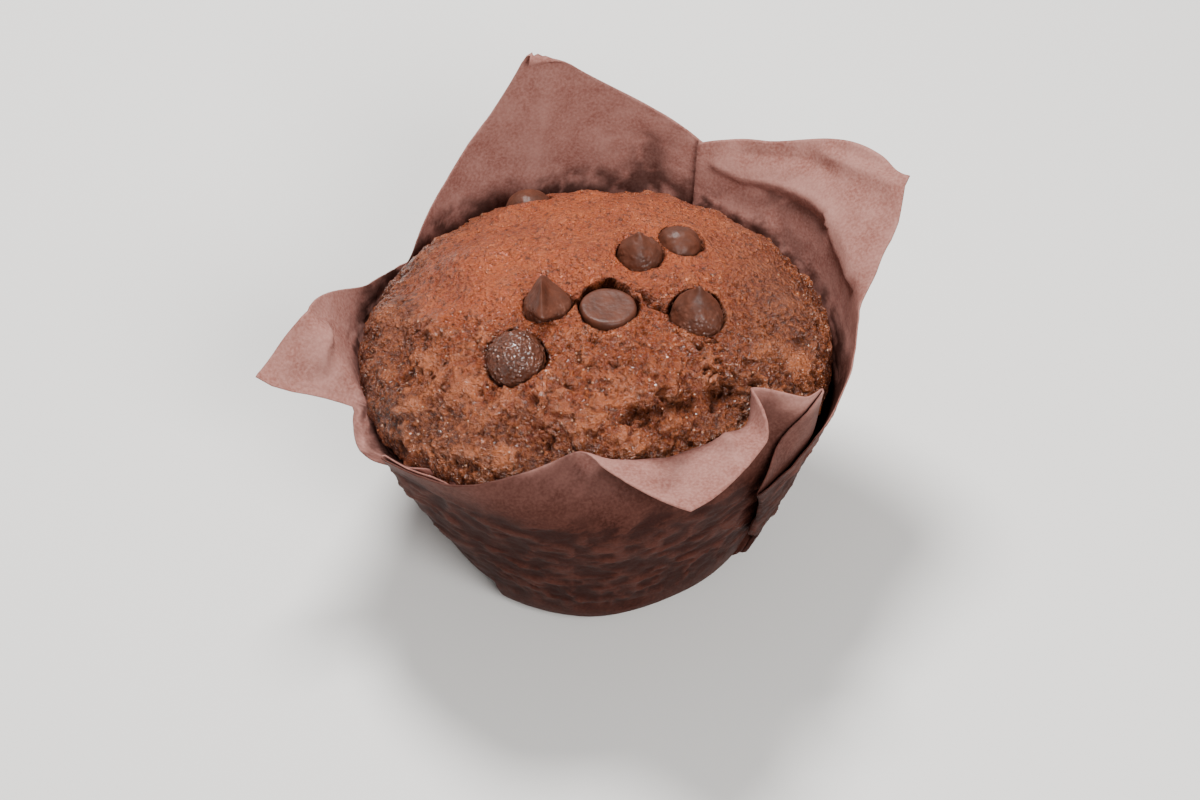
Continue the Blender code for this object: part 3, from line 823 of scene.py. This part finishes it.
cake = {
    "gap": 0.4 * mm,
    "top": 59.5 * mm,
    "shoulderRadius": 42.6 * mm,
    "shoulderHeight": 40.5 * mm,
    "domePower": 0.588,
    "back": (98, 44, 3.3 * mm, 2.5 * mm),  # azimuth, spread, radius and height lost there
    "front": (285, 40, 1.4 * mm),
    "cragHeight": 0.5 * mm,
    "cragWaves": 14,
    "cragLengths": (10 * mm, 22 * mm),
    "seed": 7,
    "crustGrid": 287,  # points along each side of the crust's grid
    "wallRows": 9,
    "cragFade": 13 / 3,  # how fast the crags grow in from the rim
    "insideSheet": 0.2 * mm,  # half the solid sheet's thickness
    "rimDrop": 1.8 * mm,  # the crust's underside below the shoulder
    "wallTop": 4 * mm,
    "bottomEdge": (2 * mm, 0.6 * mm),  # how far the bottom's edge is rounded, out and up
    "side": (2.5 * mm, 47, 3),
    "sideHeight": 0.22 * mm,
}

# cracks that show in the crust, from and to, across and back from the middle
crustSplits = [
    {"from": (6.5, -4.5), "to": (12.5, -7.0), "width": 1.0},
    {"from": (-3.5, -5.5), "to": (-5.5, -5.0), "width": 0.8},
    {"from": (12, -27), "to": (26, -19.5), "width": 2.9},
    {"from": (5, -28.5), "to": (12, -27), "width": 2.0},
]

# distance from the middle, width, height and depth in mm, then azimuth, tilt and where it tilts to
chipKeys = ("kind", "rho", "width", "height", "depth", "azimuth", "tilt", "to")
chips = [dict(zip(chipKeys, values)) for values in (
    ("round", 22.6, 10.8, 7.6, 3.8, 230, 8, 230),
    ("drop", 11.2, 8.8, 9.4, 3.6, 218, 8, 60),
    ("disc", 7.6, 10.2, 6.0, 6.0, 284, 11, 90),
    ("drop", 19.0, 9.6, 9.6, 3.8, 337, 14, 130),
    ("drop", 9.9, 8.4, 8.0, 3.4, 40, 8, 150),
    ("round", 18.6, 8.2, 5.2, 2.8, 36, 6, 40),
    ("round", 31.8, 9.6, 7.4, 5.0, 115, 6, 110),
)]


def nearAzimuth(azimuth, centre, spread):
    away = (np.degrees(azimuth) - centre + 180) % 360 - 180
    return np.exp(-0.5 * (away / spread) ** 2)


def cragHeight(x, y):
    rng = random.Random(cake["seed"])
    total = 0
    for _ in range(cake["cragWaves"]):
        turn = rng.uniform(0, 2 * math.pi)
        length = rng.uniform(*cake["cragLengths"])
        phase = rng.uniform(0, 2 * math.pi)
        along = (math.cos(turn) * x + math.sin(turn) * y) / length
        total = total + np.sin(2 * math.pi * along + phase)
    return cake["cragHeight"] * total / math.sqrt(cake["cragWaves"] / 2)


def shoulder(azimuth):
    azBack, spreadBack, radiusLoss, heightLoss = cake["back"]
    azFront, spreadFront, frontLoss = cake["front"]
    back = nearAzimuth(azimuth, azBack, spreadBack)
    front = nearAzimuth(azimuth, azFront, spreadFront)
    radius = cake["shoulderRadius"] - radiusLoss * back - frontLoss * front
    return radius, cake["shoulderHeight"] - heightLoss * back


def domeHeight(azimuth, share):
    _, low = shoulder(azimuth)
    return low + (cake["top"] - low) * np.maximum(1 - share ** 2, 0) ** cake["domePower"]


def crustHeight(rho, azimuth):
    radius, _ = shoulder(azimuth)
    return float(domeHeight(azimuth, rho / radius))


def chipAxis(chip):
    # where a chip stands and which way is up for it
    rho = chip["rho"] * mm
    azimuth = math.radians(chip["azimuth"])
    tilt = math.radians(chip["tilt"])
    to = math.radians(chip["to"])
    step = 0.5 * mm
    slope = math.atan((crustHeight(rho - step, azimuth) - crustHeight(rho + step, azimuth)) / (2 * step))
    leanX = slope * math.cos(azimuth) + tilt * math.cos(to)
    leanY = slope * math.sin(azimuth) + tilt * math.sin(to)
    lean = math.hypot(leanX, leanY)
    way = math.atan2(leanY, leanX)
    up = Vector((math.sin(lean) * math.cos(way), math.sin(lean) * math.sin(way), math.cos(lean)))
    place = Vector((rho * math.cos(azimuth), rho * math.sin(azimuth), crustHeight(rho, azimuth)))
    turn = Matrix.Rotation(lean, 4, Vector((-math.sin(way), math.cos(way), 0)))
    return place - up * chip["depth"] * mm, up, turn


def discToCircle(n):
    u = np.linspace(-1, 1, n)
    a, b = np.meshgrid(u, u, indexing="ij")
    wide = np.abs(a) >= np.abs(b)
    safeA = np.where(a == 0, 1, a)
    safeB = np.where(b == 0, 1, b)
    r = np.where(wide, a, b)
    phi = np.where(wide, math.pi / 4 * b / safeA, math.pi / 2 - math.pi / 4 * a / safeB)
    return np.abs(r), np.arctan2(r * np.sin(phi), r * np.cos(phi))


def evenShares():
    # dome shares that step evenly along the crust
    share = np.sin(np.linspace(0, 1, 400) * math.pi / 2)
    height = domeHeight(math.radians(200), share)
    steps = np.hypot(np.diff(share * cake["shoulderRadius"]), np.diff(height))
    length = np.concatenate([[0], np.cumsum(steps)])
    return length / length[-1], share


def ragged(points, size, amount, seed):
    warp = np.stack([layeredNoise(points + n * 0.71, size, seed + n, 2) for n in range(3)], -1)
    return points + warp * amount


# the crust's surface: each pattern is its size, its seed and then its own values
crumbRelief = {
    "front": (14 * mm, 5, 2),  # the crust opens towards the front
    "frontUneven": 0.35,
    "frontEdge": (2 * mm, 20 * mm),
    "bend": (1.9 * mm, 0.75 * mm, 71),
    "lumps": (3.2 * mm, 11, 3, 0.62),
    "lumpHeight": 0.50 * mm,
    "grains": (1.0 * mm, 17),
    "grainHeight": 0.06 * mm,
    "widePits": (3.6 * mm, 23, 0.15, 0.48, 0.62),
    "smallPits": (1.5 * mm, 29, 0.15, 0.50, 0.75),
    "pitDepth": 0.90 * mm,
    "cracks": (7 * mm, 37, 3, 0.55),
    "crackWidth": 0.06,
    "crackPatches": (9 * mm, 43),
    "crackDepth": 1.1 * mm,
    "splitBend": (2.2 * mm, 79, 2),
    "splitWander": 1.3 * mm,
    "splitBreaks": (2.6 * mm, 81),
    "rimBaked": (8 * mm, 63, 3),
    "swells": ((3.0 * mm, 212, 30), (1.2 * mm, -12, 26)),  # height, azimuth and spread
    "swellFrom": (0.84, 0.10),
}


def crustRelief(points, share, azimuth):
    # how far the crust moves along its normal, and the masks that colour it
    relief = crumbRelief
    edge, length = relief["frontEdge"]
    uneven = relief["frontUneven"] * layeredNoise(points, *relief["front"])
    front = ease((edge - points[..., 1]) / length + uneven)
    rim = stretch(share, 0.78, 0.18)
    coarse = np.clip(np.maximum(front, rim * 0.9), 0, 1)
    bent = ragged(points, *relief["bend"])
    lumps = layeredNoise(bent, *relief["lumps"]) * relief["lumpHeight"] * (0.40 + 0.90 * coarse)
    grains = softNoise(points, *relief["grains"]) * relief["grainHeight"] * (0.6 + coarse)
    wide = pitField(bent, *relief["widePits"]) * (0.18 + 0.82 * coarse)
    small = pitField(bent, *relief["smallPits"]) * (0.45 + 0.55 * coarse)
    pits = np.clip(ease(wide * 1.5) + ease(small * 1.7) * 0.55, 0, 1.3)
    line = np.abs(layeredNoise(bent + 3, *relief["cracks"])) / relief["crackWidth"]
    patches = ease(softNoise(points, *relief["crackPatches"]) * 2.4 - 0.1)
    crack = ease(1 - line) * patches * (0.15 + 0.85 * coarse)
    wander = layeredNoise(points, *relief["splitBend"])[..., None] * relief["splitWander"]
    broken = np.clip(1.0 + 0.9 * softNoise(points, *relief["splitBreaks"]), 0, 1)
    for split in crustSplits:
        start = np.array(split["from"]) * mm
        run = np.array(split["to"]) * mm - start
        place = points[..., :2] + wander - start
        along = np.clip(place @ run / (run @ run), 0, 1)
        away = np.linalg.norm(place - along[..., None] * run, axis=-1)
        crack = np.maximum(crack, ease(1 - away / (split["width"] * mm)) * broken)
    offset = lumps + grains - pits * relief["pitDepth"] - crack * relief["crackDepth"]
    # pit: painted shade in the pits and cracks
    pit = np.clip(pits * 0.62 + crack * 0.9, 0, 1)
    # rise: the tops of raised crumbs, which get a painted highlight
    rise = np.clip(lumps / relief["lumpHeight"] * 0.7, 0, 1)
    # the rim bakes darker, except at the back, and the right side is painted darker as shade; the rim swells
    # out to the paper at the left and right
    back = nearAzimuth(azimuth, 95, 42)
    # the right side, which gets painted shade
    right = nearAzimuth(azimuth, -4, 34)
    bakedAndShaded = stretch(share + 0.06 * layeredNoise(points, *relief["rimBaked"]), 0.65, 0.30) * (1 - 0.85 * back)
    bakedAndShaded = np.maximum(bakedAndShaded, 0.92 * right * stretch(share, 0.35, 0.45))
    swell = sum(height * nearAzimuth(azimuth, where, spread) for height, where, spread in relief["swells"])
    offset = offset + swell * stretch(share, *relief["swellFrom"])
    return offset, pit, rise, coarse, np.clip(bakedAndShaded, 0, 1)


chipSocket = {
    "depth": 2.6 * mm,
    "gap": 0.30 * mm,
    "discGap": 0.45 * mm,
    "wobble": (2.2 * mm, 83),
    "wobbleWidth": 0.25 * mm,
    "lip": (0.7 * mm, 0.8 * mm, 0.22 * mm),  # how far past the gap, its width and its height
    "dark": 0.25 * mm,  # how far past the gap the painted shade reaches
    "reach": 14 * mm,  # how far above and below a chip the crust is its own
}


def chipSockets(points, offset, pit):
    # the crust sinks under each chip, with painted shade in the gap and a low lip round it
    lipOut, lipWidth, lipHeight = chipSocket["lip"]
    wobble = softNoise(points, *chipSocket["wobble"]) * chipSocket["wobbleWidth"]
    for chip in chips:
        base, up, _ = chipAxis(chip)
        rest = points - np.array(base)
        along = rest @ np.array(up)
        away = np.linalg.norm(rest - along[..., None] * np.array(up), axis=-1) - chip["width"] / 2 * mm
        gap = chipSocket["discGap" if chip["kind"] == "disc" else "gap"]
        near = np.abs(along) < chipSocket["reach"]
        inside = (1 - ease((away - wobble + 0.1 * mm) / gap)) * near
        lip = np.exp(-((away - gap - lipOut) / lipWidth) ** 2) * near
        offset = offset * (1 - inside) - chipSocket["depth"] * inside + lipHeight * lip
        # painted shade in the gap round each chip
        gapShade = ease((gap + chipSocket["dark"] + 2.5 * wobble - away) / (0.5 * mm)) * near
        pit = np.clip(np.maximum(pit, gapShade), 0, 1)
    return offset, pit


def buildCake(material):
    n = cake["crustGrid"]
    t, azimuth = discToCircle(n)
    length, shares = evenShares()
    share = np.interp(t, length, shares)
    wide, low = shoulder(azimuth)
    x = wide * share * np.cos(azimuth)
    y = wide * share * np.sin(azimuth)
    fade = np.clip((1 - np.arcsin(np.clip(share, 0, 1)) * 2 / math.pi) * cake["cragFade"], 0, 1)
    z = domeHeight(azimuth, share) + cragHeight(x, y) * fade
    points = np.stack([x, y, z], -1)
    normals = unit(np.cross(np.gradient(points, axis=0), np.gradient(points, axis=1)))
    normals = np.where(normals[..., 2:3] < 0, -normals, normals)
    offset, pit, rise, coarse, bakedAndShaded = crustRelief(points, share, azimuth)
    offset, pit = chipSockets(points, offset, pit)
    offset = offset * (1 - 0.35 * ease((share - 0.97) / 0.03))
    crust = points + normals * offset[..., None]

    loop = [(i, 0) for i in range(n - 1)] + [(n - 1, j) for j in range(n - 1)]
    loop += [(i, n - 1) for i in range(n - 1, 0, -1)] + [(0, j) for j in range(n - 1, 0, -1)]
    rows, cols = (np.array(v) for v in zip(*loop))
    edgeAzimuth = azimuth[rows, cols]
    edge = rows * n + cols
    inset = cake["insideSheet"] + cake["gap"]
    floor = 2 * cake["insideSheet"] + cake["gap"]
    footZ = footTopHeight + cake["insideSheet"]
    edgeWide, edgeLow = shoulder(edgeAzimuth)
    topZ = edgeLow - cake["wallTop"]

    def wallRadius(height):
        wall = footTopRadius + (height - footZ) * math.tan(wallLean) - inset / math.cos(wallLean)
        return np.minimum(wall, edgeWide)

    rings = [((wallRadius(topZ) + edgeWide) / 2 + 0.2 * mm, edgeLow - cake["rimDrop"])]
    for s in np.linspace(1, 0, cake["wallRows"]):
        ringZ = footZ + (topZ - footZ) * s
        rings.append((wallRadius(ringZ), ringZ))
    out, up = cake["bottomEdge"]
    for radius, height in ((flatRadius + out, floor + up), (flatRadius, floor), (flatRadius / 2, floor)):
        rings.append((np.full_like(edgeAzimuth, radius), np.full_like(edgeAzimuth, height)))
    ringPoints = []
    for level, (r, ringZ) in enumerate(rings):
        ring = np.stack([r * np.cos(edgeAzimuth), r * np.sin(edgeAzimuth), ringZ], -1)
        if level < 3:
            rough = layeredNoise(ring, *cake["side"]) * cake["sideHeight"] - 0.1 * mm
            ring[:, :2] *= (1 + rough / r)[:, None]
        ringPoints.append(ring)
    around = len(edge)
    verts = np.concatenate([crust.reshape(-1, 3)] + ringPoints + [[[0, 0, floor]]])
    index = np.arange(n * n).reshape(n, n)
    quads = np.stack([index[:-1, :-1], index[1:, :-1], index[1:, 1:], index[:-1, 1:]], -1).reshape(-1, 4)
    faces = quads.tolist()
    upper = edge
    base = n * n
    for level in range(len(rings)):
        lower = base + level * around + np.arange(around)
        nextUpper = np.roll(upper, -1)
        nextLower = np.roll(lower, -1)
        faces += np.stack([upper, lower, nextLower, nextUpper], -1).tolist()
        upper = lower
    centre = len(verts) - 1
    faces += np.stack([upper, np.full(around, centre), np.roll(upper, -1)], -1).tolist()
    hidden = len(verts) - n * n
    # the sides hidden in the case take part of the painted pit shade and the full baked-and-shaded colour
    masks = {
        "pit": np.concatenate([pit.ravel(), np.full(hidden, 0.35)]),
        "rise": np.concatenate([rise.ravel(), np.zeros(hidden)]),
        "coarse": np.concatenate([coarse.ravel(), np.ones(hidden)]),
        "bakedAndShaded": np.concatenate([bakedAndShaded.ravel(), np.ones(hidden)]),
    }
    return meshPiece("cakeCrumb", verts, faces, material, "cake", masks)


# the chocolate chips

chipOutlines = {
    "disc": [(0.00, 0.00), (0.30, 0.00), (0.62, 0.10), (0.84, 0.32), (0.97, 0.62), (1.00, 0.86),
             (0.95, 0.97), (0.86, 1.00), (0.60, 0.985), (0.30, 0.98), (0.00, 0.98)],
    "drop": [(0.00, 0.00), (0.60, 0.00), (0.93, 0.07), (1.00, 0.22), (0.95, 0.42), (0.77, 0.60),
             (0.44, 0.76), (0.20, 0.90), (0.09, 0.985), (0.00, 1.00)],
    "round": [(0.00, 0.00), (0.60, 0.00), (0.93, 0.08), (1.00, 0.28), (0.94, 0.54), (0.76, 0.77),
              (0.46, 0.93), (0.20, 0.99), (0.00, 1.00)],
}
chipDetail = {
    "segments": 150,
    "rounds": 3,  # how often an outline's corners are cut
    "swirl": 0.075,  # a drop's ridge, as a share of its radius
    "swirlTurn": 5,
    "tipLean": 0.35 * mm,
    "finThin": 0.55,
    "finWide": 0.9,
    "finShift": 0.7 * mm,
    "wear": (2.6 * mm, 91, 3),
    "wearHeight": 0.20 * mm,
    "discWear": 0.25,  # how much of it a disc has
    "beads": (0.85 * mm, 97, 0.3, 0.6),
    "beadHeight": 0.30 * mm,
    "sugared": {1: 1.0, 2: 1.0, 4: 1.0, 5: 0.5},  # the first one all over, the others low in front
}


def roundedOutline(kind):
    line = np.array(chipOutlines[kind])
    for _ in range(chipDetail["rounds"]):  # cut the corners off, keeping both ends
        a, b = line[:-1], line[1:]
        cut = np.stack([a * 0.75 + b * 0.25, a * 0.25 + b * 0.75], 1).reshape(-1, 2)
        line = np.concatenate([line[:1], cut, line[-1:]])
    return line


def chipRings(number, chip, line, turn):
    half = chip["width"] / 2 * mm
    tall = chip["height"] * mm
    out, up = line[:, :1], line[:, 1:]
    rings = np.stack([out * half * np.cos(turn), out * half * np.sin(turn), up * tall + turn * 0], -1)
    if chip["kind"] == "drop":  # the tip's swirl: a soft ridge that winds up to it
        top = ease((up - 0.35) / 0.4)
        ridge = np.cos(turn[None, :] + up * chipDetail["swirlTurn"])
        rings[..., :2] *= (1 + chipDetail["swirl"] * top * ridge)[..., None]
        lean = chipDetail["tipLean"] * top ** 2
        rings[..., 0] += lean * np.cos(number * 2.1)
        rings[..., 1] += lean * np.sin(number * 2.1)
    if number == 2:  # this one's tip has run into an upright fin
        top = ease((up - 0.40) / 0.3)
        rings[..., 0] = rings[..., 0] * (1 - chipDetail["finThin"] * top) - chipDetail["finShift"] * top
        rings[..., 1] = rings[..., 1] * (1 + chipDetail["finWide"] * top)
    grid = rings + number * 0.05  # so that no two wear alike
    wear = layeredNoise(grid, *chipDetail["wear"]) * chipDetail["wearHeight"]
    if chip["kind"] == "disc":
        wear = wear * chipDetail["discWear"]
    sugar = ease(0.9 - rings[..., 2] / tall) * ease(0.5 - rings[..., 1] / half)
    if number == 1:
        sugar = np.ones_like(sugar)
    sugar = sugar * chipDetail["sugared"].get(number, 0)
    wear = wear + pitField(grid, *chipDetail["beads"]) * chipDetail["beadHeight"] * sugar
    away = unit(rings - np.array([0, 0, tall * 0.45]))
    return rings + away * wear[..., None], sugar


def buildChip(number, chip, material):
    line = roundedOutline(chip["kind"])[1:-1]
    count = chipDetail["segments"]
    turn = np.linspace(0, 2 * math.pi, count, endpoint=False)
    rings, sugar = chipRings(number, chip, line, turn)
    base, _, lean = chipAxis(chip)
    move = np.array(Matrix.Translation(base) @ lean)
    flat = np.concatenate([rings.reshape(-1, 3), [[0, 0, 0.0], [0, 0, chip["height"] * mm * line[-1, 1]]]])
    flat = flat @ move[:3, :3].T + move[:3, 3]
    faces = []
    steps = len(line)
    for i in range(count):
        j = (i + 1) % count
        for n in range(steps - 1):
            a = n * count
            faces.append((a + i, a + j, a + count + j, a + count + i))
        faces.append((steps * count, j, i))
        faces.append((steps * count + 1, (steps - 1) * count + i, (steps - 1) * count + j))
    return meshPiece(f"chocolateChip{number}", flat, faces, material, f"chip_{number}",
                     {"sugar": np.concatenate([sugar.ravel(), [0, 0]])})


# crumbs and sugar on the crust, scattered with geometry nodes

scatters = {
    "crustCrumbs": {"Density": 170000.0, "Smallest": 0.16 * mm, "Largest": 0.42 * mm, "Flatten": 0.75,
                    "Uneven": 0.35 * mm, "Seed": 3},
    "sugarGlints": {"Density": 90000.0, "Smallest": 0.12 * mm, "Largest": 0.30 * mm, "Flatten": 0.7,
                    "Uneven": 0.05 * mm, "Seed": 9},
}
grainShape = {
    "narrow": 0.85,  # a grain's width for a length of 1
    "tumble": (0.7, 0.7, 6.28),  # how far it may turn about each axis
    "rough": 1800.0,
    "lowest": (41 * mm, 43 * mm),  # where on the crust the grains begin
}


def scatterTree():
    tree = bpy.data.node_groups.new("scatterOnCrust", "GeometryNodeTree")
    sockets = [("Geometry", "Geometry"), ("Crust", "Object")]
    sockets += [(label, "Float") for label in ("Density", "Smallest", "Largest", "Flatten", "Uneven")]
    for label, kind in sockets + [("Seed", "Int"), ("Material", "Material")]:
        tree.interface.new_socket(label, in_out="INPUT", socket_type="NodeSocket" + kind)
    tree.interface.new_socket("Geometry", in_out="OUTPUT", socket_type="NodeSocketGeometry")

    add = partial(node, tree)

    def times(first, second):
        return add("ShaderNodeMath", {0: first, 1: second}, operation="MULTIPLY")[0]

    def named(label):
        return add("GeometryNodeInputNamedAttribute", {"Name": label}, data_type="FLOAT")["Attribute"]

    given = add("NodeGroupInput", {})
    crust = add("GeometryNodeObjectInfo", {"Object": given["Crust"]})["Geometry"]
    # most on the open crumb, none in its pits or down the sides
    notPit = add("ShaderNodeMath", {0: 1.0, 1: named("pit")}, operation="SUBTRACT", use_clamp=True)[0]
    height = add("ShaderNodeSeparateXYZ", {0: add("GeometryNodeInputPosition", {})[0]})["Z"]
    low, high = grainShape["lowest"]
    onTop = add("ShaderNodeMapRange", {"From Min": low, "From Max": high, "Value": height})["Result"]
    density = times(times(times(named("coarse"), notPit), onTop), given["Density"])
    spread = add("GeometryNodeDistributePointsOnFaces",
                  {"Mesh": crust, "Density": density, "Seed": given["Seed"]})
    grain = add("GeometryNodeMeshIcoSphere", {"Radius": 1.0, "Subdivisions": 1})["Mesh"]
    size = add("FunctionNodeRandomValue",
                {2: given["Smallest"], 3: given["Largest"], "Seed": given["Seed"]})[1]
    shape = add("ShaderNodeCombineXYZ", {"X": 1.0, "Y": grainShape["narrow"], "Z": given["Flatten"]})[0]
    scaled = add("ShaderNodeVectorMath", {0: shape, "Scale": size}, operation="SCALE")[0]
    tumble = add("FunctionNodeRandomValue", {"Max": grainShape["tumble"]}, data_type="FLOAT_VECTOR")["Value"]
    tumble = add("FunctionNodeEulerToRotation", {0: tumble})[0]
    turned = add("FunctionNodeRotateRotation", {0: spread["Rotation"], 1: tumble}, rotation_space="LOCAL")[0]
    stand = add("GeometryNodeInstanceOnPoints",
                 {"Points": spread["Points"], "Instance": grain, "Rotation": turned, "Scale": scaled})
    real = add("GeometryNodeRealizeInstances", {0: stand["Instances"]})[0]
    rough = add("ShaderNodeTexNoise", {"Scale": grainShape["rough"]})["Color"]
    rough = add("ShaderNodeVectorMath", {0: rough, 1: (0.5, 0.5, 0.5)}, operation="SUBTRACT")[0]
    rough = add("ShaderNodeVectorMath", {0: rough, "Scale": given["Uneven"]}, operation="SCALE")[0]
    bent = add("GeometryNodeSetPosition", {"Geometry": real, "Offset": rough})[0]
    painted = add("GeometryNodeSetMaterial", {"Geometry": bent, "Material": given["Material"]})[0]
    add("NodeGroupOutput", {"Geometry": painted})
    return tree


def buildScatter(name, tree, crust, material):
    given = dict(scatters[name], Crust=crust, Material=material)
    carrier = place(name + "Maker", bpy.data.meshes.new(name + "Maker"))
    modifier = carrier.modifiers.new("scatter", "NODES")
    modifier.node_group = tree
    for item in tree.interface.items_tree:
        if item.in_out == "INPUT" and item.name in given:
            modifier[item.identifier] = given[item.name]
    seen = carrier.evaluated_get(bpy.context.evaluated_depsgraph_get())
    mesh = bpy.data.meshes.new_from_object(seen)
    mesh.name = name
    bpy.data.objects.remove(carrier)
    if not mesh.materials:
        mesh.materials.append(material)
    piece = place(name, mesh)
    mesh.shade_smooth()
    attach(piece, "root")
    print("muffin:", name, len(mesh.polygons), "faces")


# floor, light and camera

studio = {
    "floorColour": (0.80, 0.78, 0.75),
    "floorSize": 3.0,
    "floorRoughness": 0.8,
    "ambient": (0.86, 0.86, 0.86),
    "ambientStrength": 0.42,
    "keyPlace": (-0.08, 0.27, 0.63),
    "keySize": 0.20,
    "keyPower": 7.5,
    "fillPlace": (0.24, -0.50, 0.50),
    "fillSize": 0.35,
    "fillPower": 5.5,
    "aim": (0, 0, 0.04),
}
view = {
    "place": (0.000387, -0.334792, 0.391736),
    "tilt": math.radians(42.5),  # 90 degrees would look level
    "sensor": 36,
    "focalPixels": 2659,  # for a frame framePixels wide
    "framePixels": 1200,
    "near": 0.01,
    "far": 10,
}


def areaLight(name):
    light = bpy.data.lights.new(name, "AREA")
    light.shape = "DISK"
    light.size = studio[name + "Size"]
    light.energy = studio[name + "Power"]
    lamp = place(name, light)
    lamp.location = studio[name + "Place"]
    lamp.rotation_euler = (Vector(studio["aim"]) - lamp.location).to_track_quat("-Z", "Y").to_euler()


def buildStudio():
    half = studio["floorSize"] / 2
    mesh = bpy.data.meshes.new("studioFloor")
    corners = [(-half, -half, 0), (half, -half, 0), (half, half, 0), (-half, half, 0)]
    mesh.from_pydata(corners, [], [(0, 1, 2, 3)])
    material, tree, shader = nodeTree("paleFloor")
    shader.inputs["Base Color"].default_value = (*studio["floorColour"], 1)
    shader.inputs["Roughness"].default_value = studio["floorRoughness"]
    mesh.materials.append(material)
    place("studioFloor", mesh)
    world = bpy.data.worlds.new("studio")
    bpy.context.scene.world = world
    world.use_nodes = True
    background = world.node_tree.nodes["Background"]
    background.inputs["Color"].default_value = (*studio["ambient"], 1)
    background.inputs["Strength"].default_value = studio["ambientStrength"]
    areaLight("key")
    areaLight("fill")


def buildCamera():
    lens = bpy.data.cameras.new("photoView")
    lens.sensor_width = view["sensor"]
    lens.lens = view["focalPixels"] * view["sensor"] / view["framePixels"]
    lens.clip_start = view["near"]
    lens.clip_end = view["far"]
    camera = place("photoView", lens)
    camera.location = view["place"]
    camera.rotation_euler = (view["tilt"], 0, 0)
    bpy.context.scene.camera = camera


buildCamera()
print("muffin: paper case")
buildPaper(paperMaterial())
print("muffin: cake")
crumb = buildCake(cakeMaterial())
print("muffin: chips")
chocolate = chipMaterial()
for number, chip in enumerate(chips, 1):
    buildChip(number, chip, chocolate)
print("muffin: crumbs and sugar")
tree = scatterTree()
buildScatter("crustCrumbs", tree, crumb, cakeMaterial())
buildScatter("sugarGlints", tree, crumb, sugarMaterial())
print("muffin: floor and light")
buildStudio()
